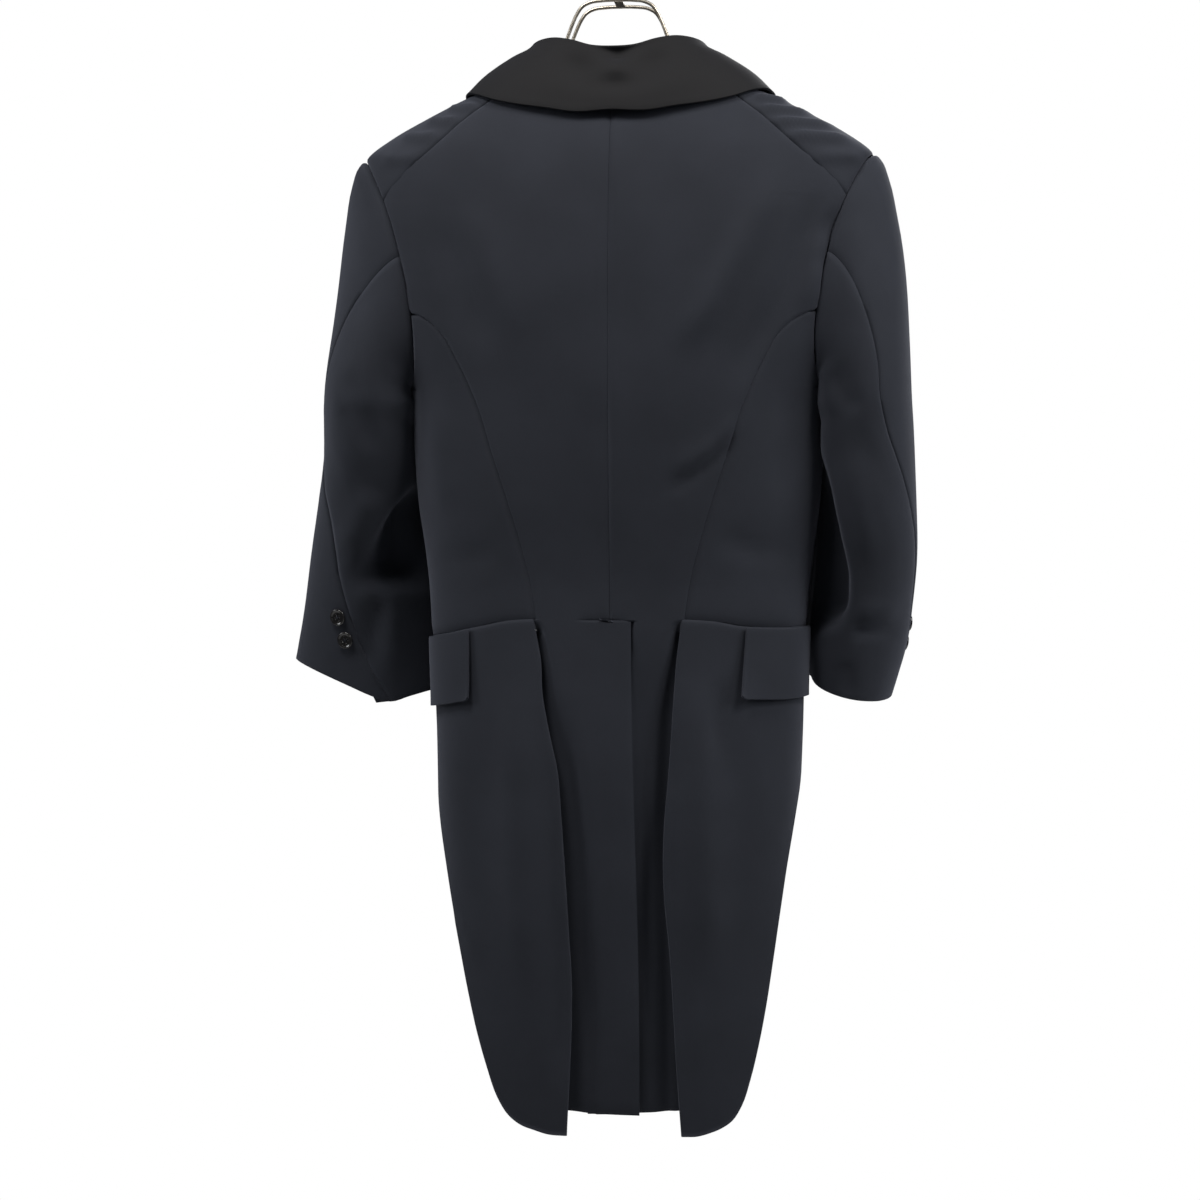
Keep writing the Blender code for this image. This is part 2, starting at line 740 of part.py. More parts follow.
def lapel_piece(side, material):
    """Lapel turned back over the front: it goes on from the collar's end and narrows to the button."""
    rows = [(-92.0, 71.0, 122.0, 7.0), (-112.0, 68.0, 126.0, 4.6), (-138.0, 64.0, 131.0, 2.8),
            (-170.0, 59.0, 136.0, 1.5), (-215.0, 52.5, 126.0, 0.6), (-265.0, 44.0, 106.0, 0.0),
            (-315.0, 34.5, 83.0, 0.0), (-360.0, 25.0, 60.0, 0.0), (-400.0, 16.5, 38.0, 0.0),
            (-425.0, 9.0, 20.0, 0.0)]
    shares = [0.0, 0.1, 0.3, 0.55, 0.8, 1.0]
    seam = collar_section(7.0, 1.0)
    before = collar_section(6.6, 1.0)
    last = []
    start = []
    for share in shares:
        at = 4.0 + 5.0 * share
        low = min(int(at), 8)
        point = blend(seam[low], seam[low + 1], at - low)
        way = point - blend(before[low], before[low + 1], at - low)
        last.append(point - way)
        start.append(point + way / np.linalg.norm(way) * 1.5)
    grid = [last, start]
    for z, near_x, far_x, roll in rows:
        row = []
        for share in shares:
            x = blend(near_x, far_x, share)
            level = z - 22.0 * share * ease(z, -200.0, -92.0)
            point = np.array([x, half_depth(x, level, True), level])
            out = 0.7 + CLOTH + 1.4 * math.sin(math.pi * share) + roll * (1.0 - share) ** 1.5
            row.append(point + facing(point) * out)
        grid.append(row)
    grid = [[np.array([side * p[0], p[1], p[2]]) for p in row] for row in grid]
    ways = grid_normals(grid, False)
    if ways[5][3][1] < 0.0:
        ways = -ways
    grid = grid[1:]
    ways = ways[1:]
    inner = [[p - w * CLOTH for p, w in zip(row, way_row)] for row, way_row in zip(grid, ways)]
    name = "lapel_left" if side < 0 else "lapel_right"
    return add_object(name, wall_mesh(grid, inner, False), material)


def button_body(name, centre, way, radius, height, material):
    """Round button with a soft rim and a dished face."""
    profile = [(0.0, 0.0), (0.72, 0.0), (0.95, 0.3), (1.0, 0.62), (0.9, 1.0), (0.72, 0.8), (0.0, 0.72)]
    way = way / np.linalg.norm(way)
    across = np.cross(way, np.array([0.0, 0.0, 1.0]))
    across = across / np.linalg.norm(across)
    up = np.cross(across, way)
    mesh = bmesh.new()
    steps = 16
    rings = []
    for wide, high in profile[1:-1]:
        ring = []
        for i in range(steps):
            turn = 2.0 * math.pi * i / steps
            spot = centre + way * (high * height)
            spot = spot + (across * math.cos(turn) + up * math.sin(turn)) * (wide * radius)
            ring.append(mesh.verts.new([v * 0.001 for v in spot]))
        rings.append(ring)
    low = mesh.verts.new([v * 0.001 for v in centre])
    high = mesh.verts.new([v * 0.001 for v in centre + way * (height * profile[-1][1])])
    for i in range(steps):
        j = (i + 1) % steps
        mesh.faces.new([low, rings[0][j], rings[0][i]])
        mesh.faces.new([high, rings[-1][i], rings[-1][j]])
        for a, b in zip(rings, rings[1:]):
            mesh.faces.new([a[i], a[j], b[j], b[i]])
    return add_object(name, mesh, material)


def cuff_button(side, number, material):
    seam = ELBOW_SEAM_LEFT if side < 0 else ELBOW_SEAM_RIGHT
    down = (0.838, 0.768)[number - 1]
    angle = curve(seam, down) - (11.5 if side < 0 else 30.0)
    middle = sleeve_section(side, angle, down)
    along = sleeve_section(side, angle + 2.0, down) - sleeve_section(side, angle - 2.0, down)
    drop = sleeve_section(side, angle, down + 0.01) - sleeve_section(side, angle, down - 0.01)
    way = np.cross(along, drop)
    rows = SLEEVE_LEFT if side < 0 else SLEEVE_RIGHT
    axis = np.array([side * curve(rows, -560.0, 1), curve(rows, -560.0, 4), middle[2]])
    if float(np.dot(way, middle - axis)) < 0.0:
        way = -way
    way = way / np.linalg.norm(way)
    name = "cuff_button_" + ("left_" if side < 0 else "right_") + str(number)
    return button_body(name, middle + way * 0.5, way, 7.5, 3.2, material)


def rod_path():
    """One closed bent rod: the near line from left to right, round the end and back along the far line."""
    half = [(0.0, 1.6), (14.0, 1.2), (24.0, -0.2), (31.0, -4.0), (35.0, -9.5), (39.0, -18.0), (43.5, -30.0),
            (47.5, -44.0), (52.0, -57.0), (60.0, -65.5), (73.0, -70.0), (92.0, -74.9), (117.0, -82.9),
            (137.0, -90.7), (154.0, -99.2), (171.0, -108.4), (187.0, -117.4), (199.0, -125.0)]
    near = [np.array([-x, -ROD_SPREAD, z]) for x, z in half[:0:-1]]
    near += [np.array([x, -ROD_SPREAD, z]) for x, z in half]
    turn = []
    for step in range(1, 8):
        a = math.pi * step / 8.0
        out = ROD_SPREAD * math.sin(a) * 0.62
        turn.append(np.array([199.0 + out, -ROD_SPREAD * math.cos(a), -125.0 - out * 0.66]))
    far = [np.array([-p[0], -p[1], p[2]]) for p in near]
    other = [np.array([-p[0], -p[1], p[2]]) for p in turn]
    return near + turn + far + other


def rod_body(material):
    path = rod_path()
    count = len(path)
    sides = 8
    mesh = bmesh.new()
    rings = []
    for i, spot in enumerate(path):
        way = path[(i + 1) % count] - path[i - 1]
        way = way / np.linalg.norm(way)
        flat = np.array([0.0, 0.0, 1.0]) if abs(way[2]) < 0.9 else np.array([1.0, 0.0, 0.0])
        side_way = np.array([0.0, 1.0, 0.0])
        if abs(way[1]) > 0.75:
            side_way = np.array([1.0, 0.0, 0.0])
        first = np.cross(way, np.array([0.0, 0.0, 1.0]))
        if np.linalg.norm(first) < 0.35:
            first = np.cross(way, flat)
        first = first / np.linalg.norm(first)
        second = np.cross(first, way)
        ring = []
        for k in range(sides):
            a = 2.0 * math.pi * (k + 0.5) / sides
            vertex = spot + (first * math.cos(a) + second * math.sin(a)) * ROD_RADIUS
            ring.append(mesh.verts.new([v * 0.001 for v in vertex]))
        rings.append(ring)
    for i in range(count):
        a = rings[i]
        b = rings[(i + 1) % count]
        for k in range(sides):
            m = (k + 1) % sides
            mesh.faces.new([a[k], a[m], b[m], b[k]])
    return add_object("hanger_rod", mesh, material)


def spacer_body(material):
    """Round spacer between the two lines of the rod, at the top of the loop."""
    mesh = bmesh.new()
    bmesh.ops.create_cone(mesh, cap_ends=True, segments=16, radius1=0.0027, radius2=0.0027,
                          depth=(2.0 * ROD_SPREAD - 2.0 * ROD_RADIUS - 0.6) * 0.001)
    turn = np.array([[1.0, 0.0, 0.0], [0.0, 0.0, -1.0], [0.0, 1.0, 0.0]])
    for vertex in mesh.verts:
        x, y, z = turn @ np.array(vertex.co)
        vertex.co = (x * 1.5, y, z + 0.0028)
    return add_object("hanger_spacer", mesh, material)


def make_material(name, colour, roughness, metallic=0.0):
    material = bpy.data.materials.new(name)
    material.use_nodes = True
    shader = material.node_tree.nodes["Principled BSDF"]
    shader.inputs["Base Color"].default_value = (*colour, 1.0)
    shader.inputs["Roughness"].default_value = roughness
    shader.inputs["Metallic"].default_value = metallic
    material.diffuse_color = (*colour, 1.0)
    return material


for old in list(bpy.data.objects):
    bpy.data.objects.remove(old, do_unlink=True)
coat = bpy.data.collections.new("tailcoat")
bpy.context.scene.collection.children.link(coat)

midnight = (0.012, 0.013, 0.018)
satin = (0.017, 0.016, 0.018)
wool = make_material("wool cloth", midnight, 0.85)
collar_cloth = make_material("collar cloth", satin, 0.7)
button_resin = make_material("button resin", (0.006, 0.006, 0.007), 0.2)
steel = make_material("hanger steel", (0.56, 0.52, 0.45), 0.28, 1.0)

for side in (-1.0, 1.0):
    back_panel(side, wool)
    side_body(side, wool)
    front_panel(side, wool)
    skirt_panel(side, wool)
    flap_panel(side, wool)
    sleeve_piece(side, 0, wool)
    sleeve_piece(side, 1, wool)
    lapel_piece(side, collar_cloth)
    cuff_button(side, 1, button_resin)
    cuff_button(side, 2, button_resin)
collar_piece(collar_cloth)
closing = np.array([0.0, half_depth(0.0, -458.0, True), -458.0])
outward = facing(closing)
button_body("front_button", closing + outward * 0.5, outward, 10.0, 3.6, button_resin)
rod_body(steel)
spacer_body(steel)
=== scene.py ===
"""Looks for the evening tailcoat: fine cloth, folds, seams, buttons, hanger, materials, light and camera.

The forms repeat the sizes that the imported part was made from. Lengths are millimetres until a mesh is made,
apart from the floor and the lights, which are in metres. Side is -1 for the wearer's left, else 1.
"""
import math

import bmesh
import bpy
import numpy as np
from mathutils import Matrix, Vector


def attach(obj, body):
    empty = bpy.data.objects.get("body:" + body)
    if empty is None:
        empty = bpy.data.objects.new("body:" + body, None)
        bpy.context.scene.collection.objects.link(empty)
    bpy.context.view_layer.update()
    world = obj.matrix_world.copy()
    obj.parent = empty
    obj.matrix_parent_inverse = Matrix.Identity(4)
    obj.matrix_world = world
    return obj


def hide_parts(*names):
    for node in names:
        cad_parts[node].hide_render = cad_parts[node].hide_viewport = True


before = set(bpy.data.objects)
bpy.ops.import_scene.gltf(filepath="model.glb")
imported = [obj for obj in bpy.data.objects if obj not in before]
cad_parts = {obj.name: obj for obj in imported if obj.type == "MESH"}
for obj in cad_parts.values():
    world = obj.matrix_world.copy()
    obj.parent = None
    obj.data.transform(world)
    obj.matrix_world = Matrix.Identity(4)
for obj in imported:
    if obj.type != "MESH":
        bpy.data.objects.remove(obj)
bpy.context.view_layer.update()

MM = 0.001
# thickness of the cloth, and the rounding of its cut edges
CLOTH = 1.9
COLLAR_CLOTH = 2.1
EDGE_ROUND = 0.45
# a seam: how wide and deep the cloth dips into it, and each side's share of its gap
SEAM_WIDTH = 1.9
SEAM_DEPTH = 0.9
SEAM_GAP = 0.12
# seam cloth tucked under the neighbour: how far down and how far in
TUCK_DROP = 2.4
TUCK_REACH = 8.0
SLEEVE_TUCK = 13.0
# the tail's folded edge: the fold's radius, and the underlay's points behind it
FOLD_RADIUS = 1.9
UNDERLAY = (26.0, 17.0, 9.0, 3.0)
# how many times finer a panel's cloth is than its rows of points
FINE = 4
FRONT_FINE = 6
# exponent of the torso's sections: 2 is an ellipse, more is squarer
ROUNDNESS = 2.4
# heights between which the sleeve has its tabled sections, and its middle out and forward
SLEEVE_TOP = -352.0
SLEEVE_END = -590.0
SLEEVE_MIDDLE = (222.0, 2.0)
# heights, from the shoulder's tip down to the back's hem
SHOULDER_TIP = -136.0
SHOULDER_SEAM_END = -176.0
ARMHOLE_BOTTOM = -340.0
BUTTON_Z = -458.0
VENT_TOP = -540.0
WAIST_Z = -549.0
BACK_HEM = -960.0
# how far out the shoulder seam starts, at the neck
NECK_X = 72.0
# radius and height of a button
CUFF_BUTTON = (7.5, 3.0)
FRONT_BUTTON = (10.0, 3.4)
# place of its holes as a share of the radius, and how far it sits off the form
BUTTON_HOLE = 0.21
BUTTON_SEAT = 0.9
ROD_RADIUS = 1.6
ROD_SPREAD = 16.0
SPACER_RADIUS = 2.7
# the photograph's camera, turned a little round from straight behind the coat
CAMERA_TURN = math.radians(5.8)
CAMERA_AWAY = 2700.0
CAMERA_ASIDE = -16.7
CAMERA_HEIGHT = -523.6
CAMERA_LENS = 92.0
FLOOR_Z = -2.0
FLOOR_RADIUS = 2.6

# height, half width, depth to the back, depth to the front
TORSO = [
    (-50, 0.5, 44, 42),
    (-57, 30, 49, 47),
    (-59.5, 55, 51, 49),
    (-62, 72, 53, 50.5),
    (-68, 92, 56.5, 53),
    (-76, 117, 60.5, 56.5),
    (-84, 137, 64.5, 60),
    (-101, 171, 72.5, 67),
    (-119, 203, 80.5, 74),
    (-136, 224, 87, 80),
    (-160, 226, 93.5, 87),
    (-200, 224, 100, 94),
    (-250, 214, 103.5, 99),
    (-300, 199, 104, 102),
    (-340, 183.5, 103, 104),
    (-390, 180, 99, 104),
    (-440, 177, 94, 101),
    (-482, 171, 89, 96),
    (-515, 167, 86, 92.5),
    (-560, 164, 87, 91.5),
    (-611, 161.5, 91, 93),
    (-700, 159, 97, 95),
    (-800, 156.5, 97.5, 95),
    (-990, 154, 93, 93),
]

# height, half width of the body where the sleeve is set in
ARMHOLE = [
    (-136, 224),
    (-139, 221),
    (-146, 216.4),
    (-156, 211),
    (-176, 201.3),
    (-183, 198.5),
    (-202, 191.8),
    (-226, 185.2),
    (-250, 179.5),
    (-275, 175.5),
    (-298, 173.8),
    (-316, 174.2),
    (-327, 176),
    (-333.5, 178.6),
    (-337.5, 181),
    (-339.5, 182.6),
    (-340, 183.5),
]

# height, distance from the middle of the back
SIDE_BACK_SEAM = [
    (-275, 175.5),
    (-278, 168),
    (-287, 154),
    (-299, 143),
    (-315, 134),
    (-340, 121.5),
    (-365, 111.5),
    (-395, 102.5),
    (-425, 92.5),
    (-455, 83),
    (-485, 74.5),
    (-515, 67.6),
    (-540, 64),
]

# distance from the middle, height of the seam set back from the shoulder line
SHOULDER_SEAM = [(72, -66), (98, -82.5), (125, -103.5), (165, -141), (184, -159.5), (201.3, -176)]
# angle round from the back, height of the waist seam
WAIST_LEFT = [(0, -539), (26, -540.5), (40, -546), (60, -552), (90, -554.5), (180, -549)]
WAIST_RIGHT = [(0, -539), (26, -541), (40, -546), (60, -547), (90, -544.5), (180, -549)]

# height, distance of the front opening from the middle
ROLL_LINE = [
    (-66, 72),
    (-90, 70),
    (-120, 66),
    (-200, 54),
    (-300, 37),
    (-400, 15),
    (-440, 2),
    (-468, -10),
]

# height, inner edge of the left tail, inner edge of the right tail
TAIL_EDGE = [
    (-540, 67.5, 63),
    (-565, 62, 60),
    (-613, 58.5, 56.5),
    (-664, 47.5, 53.5),
    (-708, 43.5, 50),
    (-760, 40, 48.5),
    (-800, 37.5, 52),
    (-855, 34.5, 56),
    (-920, 35.5, 59.5),
    (-985, 38, 64),
]

# angle round from the back, height where the tail is cut away
CUTAWAY = [
    (16, -974),
    (22, -980),
    (30, -975.5),
    (37, -968),
    (43, -951),
    (48, -925),
    (54, -887),
    (66, -797),
    (80, -714),
    (100, -656),
    (120, -622),
    (150, -582),
    (176, -560),
]

# height, middle distance out, half width, half depth, middle depth,
# how far the cloth leans in to the body at its back and at its front
SLEEVE_LEFT = [
    (-352, 223, 39, 78, 6, 10, 8),
    (-395, 222.7, 41.3, 74, 12, 8, 8),
    (-437, 224.5, 46.5, 66, 20, 4, 10),
    (-482, 223.8, 54.8, 57, 30, 0, 12),
    (-540, 225.5, 62.5, 49, 40, 0, 8),
    (-590, 228.8, 68.8, 45, 46, 0, 6),
]
SLEEVE_RIGHT = [
    (-352, 220.5, 36.1, 78, 4, 12, 6),
    (-395, 220.5, 38.6, 74, 6, 12, 12),
    (-437, 219.9, 41.1, 70, 8, 9, 17),
    (-482, 217.6, 43.4, 64, 17, 2, 21),
    (-540, 210.8, 43.7, 59, 28, 0, 19),
    (-590, 204, 35.6, 56, 35, 0, 17),
]
# share of the way down the sleeve, angle of the elbow seam from the outer side
ELBOW_SEAM_LEFT = [(0, 20), (0.12, 12), (0.22, 24), (0.42, 54), (0.64, 68), (0.73, 76),
                   (0.84, 87), (1, 111)]
ELBOW_SEAM_RIGHT = [(0, 74), (0.12, 64), (0.32, 36), (0.5, 14), (0.75, 6), (1, 4)]
# points of the armhole between its top and the elbow seam, and between its top and the front seam
ELBOW_START = 7
FRONT_SEAM_START = 10
FRONT_SEAM_ANGLE = -104.0

# fold point x, y, z, then the outer edge's x and its place over the shoulder line
COLLAR = [
    (0, -57, -45.6, 0, -7.6),
    (20, -55.5, -44, 33, -7.15),
    (41, -48, -37, 62, -6.5),
    (58, -36, -34, 92, -5.4),
    (70, -19, -34.5, 116, -3.5),
    (75.5, 0, -36.5, 130, -1.4),
    (77.5, 16, -42, 136, 0.9),
    (77.5, 31, -52, 134, 3.2),
]
# x, height, 1 in front of the shoulder line, for each station of the collar
COLLAR_NECK = [
    (0, -73, 0),
    (25, -72.2, 0),
    (47, -70.2, 0),
    (63, -67.8, 0),
    (71, -65, 0),
    (72, -62, 0),
    (72, -62.6, 1),
    (72, -65.2, 1),
]

# Folds seen on the back: height out (below zero is a trough), half width, then points (x, z)
BACK_FOLDS = [
    (6.6, 14, [(150, -140), (132, -187), (108, -235), (82, -280), (56, -318)]),
    (-4.6, 11, [(178, -168), (168, -205), (152, -250), (128, -300), (104, -345)]),
    (3.2, 8, [(184, -205), (176, -240), (164, -285)]),
    (-3.4, 6, [(193, -185), (184, -215), (177, -250)]),
    (-2.4, 5, [(40, -432), (62, -424), (80, -411), (99, -396), (112, -380)]),
    (2, 6, [(50, -416), (72, -406), (96, -386), (110, -366)]),
    (1.2, 9, [(52, -410), (72, -399), (92, -390)]),
    (-3, 16, [(-150, -190), (-128, -250), (-100, -320)]),
    (2.6, 16, [(-120, -180), (-100, -240), (-70, -310)]),
    (-1.6, 12, [(-8, -330), (-14, -420), (-12, -520)]),
    (-0.8, 1.1, [(-30, -540.8), (-10, -540.8), (19, -540.8)]),
    (1.8, 22, [(35, -150), (38, -300), (30, -460)]),
    (-2.2, 10, [(90, -470), (125, -482), (160, -480)]),
    (-2.2, 10, [(-92, -478), (-125, -488), (-158, -484)]),
    (-2.6, 12, [(150, -330), (150, -390), (142, -450)]),
    (2.6, 13, [(-150, -340), (-152, -400), (-145, -460)]),
]
# puckers along the shoulder seam
YOKE_FOLDS = [
    (3.6, 3.8, [(-148, -94), (-133, -96), (-118, -96)]),
    (3.8, 3.8, [(-166, -105), (-149, -108), (-132, -108)]),
    (3.6, 4.2, [(-188, -119), (-168, -122), (-148, -122)]),
    (2.6, 5, [(-206, -138), (-186, -141), (-162, -141)]),
    (4.2, 3.4, [(118, -90), (134, -91), (152, -93)]),
    (4.4, 3.6, [(122, -101), (146, -102), (172, -103)]),
    (5, 3.8, [(134, -113), (162, -114), (192, -115)]),
    (5.2, 4.2, [(148, -126), (176, -126.5), (208, -127)]),
    (3, 5, [(170, -145), (194, -143), (216, -141)]),
]
# the same for the tails, the panels between them, and the sleeves
TAIL_FOLDS = [
    (-5, 13, [(-56, -590), (-48, -690), (-42, -850), (-40, -975)]),
    (4.5, 15, [(-80, -570), (-78, -736), (-73, -880)]),
    (-3.2, 18, [(-112, -620), (-116, -720), (-108, -840)]),
    (1.4, 10, [(-130, -790), (-122, -810), (-110, -835)]),
    (-4, 12, [(55, -600), (52, -700), (54, -850), (62, -975)]),
    (4.2, 14, [(78, -570), (80, -720), (86, -860)]),
    (-3, 16, [(108, -620), (112, -720), (108, -850)]),
    (-3, 9, [(100, -585), (92, -620), (88, -660)]),
]
CENTRE_FOLDS = [
    (-4, 8, [(-39, -575), (-31, -662), (-25, -730), (-22, -809), (-18, -875), (-15, -950)]),
    (2, 12, [(2, -560), (4, -680), (6, -800), (10, -950)]),
    (-3, 6, [(30, -600), (31, -700), (32, -820), (37, -940)]),
    (1.6, 7, [(42, -620), (41, -720), (42, -850), (46, -940)]),
]
SLEEVE_FOLDS = [
    (5, 12, [(-206, -425), (-224, -455), (-242, -485)]),
    (-5, 10, [(-205, -515), (-218, -545), (-224, -585)]),
    (2.5, 10, [(-190, -500), (-198, -550), (-204, -600)]),
    (-2.5, 10, [(-235, -320), (-222, -360), (-206, -400)]),
    (2, 12, [(-225, -260), (-214, -320), (-200, -370)]),
    (-3, 9, [(186, -320), (198, -345), (214, -365)]),
    (2.5, 10, [(200, -390), (213, -440), (222, -500)]),
    (-3.4, 6, [(202, -553), (224, -549), (250, -549)]),
    (2, 9, [(205, -535), (226, -532), (248, -532)]),
    (-2, 8, [(200, -575), (201, -610)]),
    (2.4, 12, [(205, -190), (208, -230), (206, -290)]),
]
# height, edge of the hollow beside the right sleeve's crease
HOLLOW_RIGHT = [(-365, 168), (-386, 175), (-427, 186), (-471, 196), (-506, 204),
                (-529, 203), (-552, 194)]
# angle of the flap's inner edge, its lean, how far the lower inner corner stands off, where that starts
# along the flap, and how fast it grows downward
FLAP_LEFT = (44.5, 0.0, 2.2, 0.84, 1.4)
FLAP_RIGHT = (40.5, 0.03, 5.0, 0.82, 1.3)
# the collar's pinch and swells: middle, half width, place across the collar, its half width, height out
COLLAR_PINCH = [
    (4, 12, 0.7, 0.05, -6.5),
    (5, 9, 0.825, 0.04, 3.8),
    (5, 24, 0.885, 0.04, -2.6),
    (-30, 16, 0.8, 0.075, -4.2),
    (38, 17, 0.8, 0.075, -4.2),
]
# height, inner and outer edge of the lapel from the middle, how far its roll stands off
LAPEL = [(-92, 71, 122, 7), (-112, 68, 126, 4.6), (-138, 64, 131, 2.8), (-170, 59, 136, 1.5),
         (-215, 52.5, 126, 0.6), (-265, 44, 106, 0), (-315, 34.5, 83, 0), (-360, 25, 60, 0),
         (-400, 16.5, 38, 0), (-425, 9, 20, 0)]
# width and height of a button as shares, from the middle of the underside round the rim to the face
BUTTON = [(0, 0), (0.5, 0), (0.78, 0.04), (0.94, 0.24), (1, 0.5), (0.985, 0.78), (0.94, 0.94), (0.87, 1),
          (0.8, 0.96), (0.74, 0.84), (0.68, 0.74), (0.6, 0.7), (0, 0.7)]
# distance from the middle and height of the hanger's rod, from the top of its loop to the shoulder
ROD = [(0, 1.6), (14, 1.2), (24, -0.2), (31, -4), (35, -9.5), (39, -18), (43.5, -30), (47.5, -44), (52, -57),
       (60, -65.5), (73, -70), (92, -74.9), (117, -82.9), (137, -90.7), (154, -99.2), (171, -108.4),
       (187, -117.4), (199, -125)]
# name, place, what it points at, size, power in watts, colour, spread in degrees
LIGHTS = [
    ("key", (-0.7, -1.15, 1.6), (0, 0, 0.1), 1, 8.6, (1, 0.98, 0.96), 80),
    ("right_top", (1.3, -1, 1.3), (0.1, 0, -0.1), 0.7, 9, (1, 0.97, 0.94), 100),
    ("low_fill", (-0.4, -2.6, -0.9), (0, 0, -0.7), 1.2, 1.2, (0.9, 0.95, 1), 180),
    ("left_side", (-1.9, -0.5, 0.3), (-0.2, 0, -0.4), 0.9, 2.6, (0.96, 0.98, 1), 80),
    ("right_side", (1.9, -0.5, 0.3), (0.2, 0, -0.4), 0.9, 3.2, (0.96, 0.98, 1), 80),
    ("front_fill", (0.8, 2.4, 0.7), (0, 0, -0.4), 1.4, 30, (1, 1, 1), 180),
]


def sided(name, side):
    """Name of the left or the right piece."""
    return name + ("_left" if side < 0 else "_right")


def blend(start, end, share):
    return start + (end - start) * share


def unit(ways, least=1e-9):
    """The same directions, each with a length of 1."""
    return ways / np.maximum(np.linalg.norm(ways, axis=-1, keepdims=True), least)


def turned_to(ways, guide, at=...):
    """The directions, all turned round where those at a place go against the guide."""
    return ways if float(np.sum((ways * guide)[at])) >= 0.0 else -ways


def walked(points, axis):
    """Distance along the rows (axis 1) or the columns (axis 0) of a grid."""
    steps = np.linalg.norm(np.diff(points, axis=axis), axis=-1)
    start = np.zeros_like(steps.take([0], axis=axis))
    return np.concatenate([start, np.cumsum(steps, axis=axis)], axis=axis)


def ease(value, start, end):
    """0 before start and 1 past end, with a soft way between them."""
    share = np.clip((np.asarray(value, float) - start) / (end - start), 0.0, 1.0)
    return share * share * (3.0 - 2.0 * share)


def curve(rows, key, column=1):
    """Smooth value at key from rows sorted by their first column, rising or falling."""
    rows = np.array(rows, float)
    if rows[0][0] > rows[-1][0]:
        rows = rows[::-1]
    keys = rows[:, 0]
    values = rows[:, column]
    key = np.clip(np.asarray(key, float), keys[0], keys[-1])
    place = np.clip(np.searchsorted(keys, key, side="right") - 1, 0, len(keys) - 2)
    before = np.maximum(np.arange(len(keys)) - 1, 0)
    after = np.minimum(np.arange(len(keys)) + 1, len(keys) - 1)
    slopes = (values[after] - values[before]) / (keys[after] - keys[before])
    width = keys[place + 1] - keys[place]
    rise = values[place + 1] - values[place]
    steep = np.abs(3.0 * rise / width)
    ends = []
    for at in (place, place + 1):
        slope = np.where(slopes[at] * rise < 0.0, 0.0, slopes[at])
        ends.append(np.clip(slope, -steep, steep))
    t = (key - keys[place]) / width
    start_bend = (ends[0] * width - rise) * t * (1.0 - t) ** 2
    end_bend = (rise - ends[1] * width) * t * t * (1.0 - t)
    return values[place] + rise * t + start_bend + end_bend


def ridge(x):
    """Height of the shoulder line."""
    rows = [(row[1], row[0]) for row in TORSO[:10]]
    return curve(rows, np.abs(x))


def half_depth(x, z, front):
    """Depth of the torso at x and z, to the front or to the back."""
    width = np.maximum(curve(TORSO, z, 1), 0.1)
    depth = np.where(front, curve(TORSO, z, 3), curve(TORSO, z, 2))
    share = np.minimum(np.abs(x) / width, 1.0)
    return depth * (1.0 - share ** ROUNDNESS) ** (1.0 / ROUNDNESS)


def form(points):
    """1 on the torso's form, less inside and more outside, for points (..., 3)."""
    x, y, z = points[..., 0], points[..., 1], points[..., 2]
    depth = np.where(y > 0.0, curve(TORSO, z, 3), curve(TORSO, z, 2))
    return (np.abs(x) / curve(TORSO, z, 1)) ** ROUNDNESS + (np.abs(y) / depth) ** ROUNDNESS


def facing(points):
    """Unit directions straight out of the torso's form."""
    ways = []
    for axis in range(3):
        step = np.zeros(3)
        step[axis] = 0.4
        ways.append(form(points + step) - form(points - step))
    return unit(np.stack(ways, axis=-1))


def onto_form(points):
    """Brings points that are near the torso's form onto it, level by level."""
    points = np.array(points, float)
    grow = form(points) ** (-1.0 / ROUNDNESS)
    points[..., 0] *= grow
    points[..., 1] *= grow
    return points


def angle_at(x, z):
    """Angle round the torso, up to 90, of a point that is x from its middle."""
    width = curve(TORSO, z, 1)
    return float(np.degrees(np.arcsin(np.minimum(np.abs(x) / width, 1.0) ** (ROUNDNESS / 2.0))))


def by_angle(side, angle, z):
    """Point on the torso, with angle 0 at the back's middle, 90 at the side and 180 in front."""
    width = float(curve(TORSO, z, 1))
    depth = float(curve(TORSO, z, 2 if angle <= 90.0 else 3))
    s = math.sin(math.radians(angle))
    c = math.cos(math.radians(angle))
    x = math.copysign(width * abs(s) ** (2.0 / ROUNDNESS), side * s)
    y = -math.copysign(depth * abs(c) ** (2.0 / ROUNDNESS), c)
    return np.array([x, y, float(z)])


def over_shoulder(side, x, q):
    """Point over the shoulder: q is 0 on the shoulder line, below zero behind it, above in front."""
    z = float(ridge(x)) - q * q
    y = math.copysign(float(half_depth(x, z, q > 0.0)), q)
    return np.array([side * x, y, z])


def q_at(x, z, front):
    """Place over the shoulder line of a point at x and z."""
    q = math.sqrt(max(float(ridge(x)) - z, 0.0))
    return q if front else -q


def waist_height(side, angle):
    """Height of the waist seam at an angle round from the back."""
    return float(curve(WAIST_LEFT if side < 0 else WAIST_RIGHT, angle))


def tail_edge(side, z):
    """Distance of the tail's inner edge from the middle of the back."""
    return curve(TAIL_EDGE, z, 1 if side < 0 else 2)


def on_back(side, x, z):
    """Point on the back, x out from its middle."""
    return np.array([side * x, -float(half_depth(x, z, False)), z])


def level_row(side, z, near, far, shares):
    """Row of points round the torso at one height, from one angle to another."""
    return [by_angle(side, blend(near, far, share), z) for share in shares]


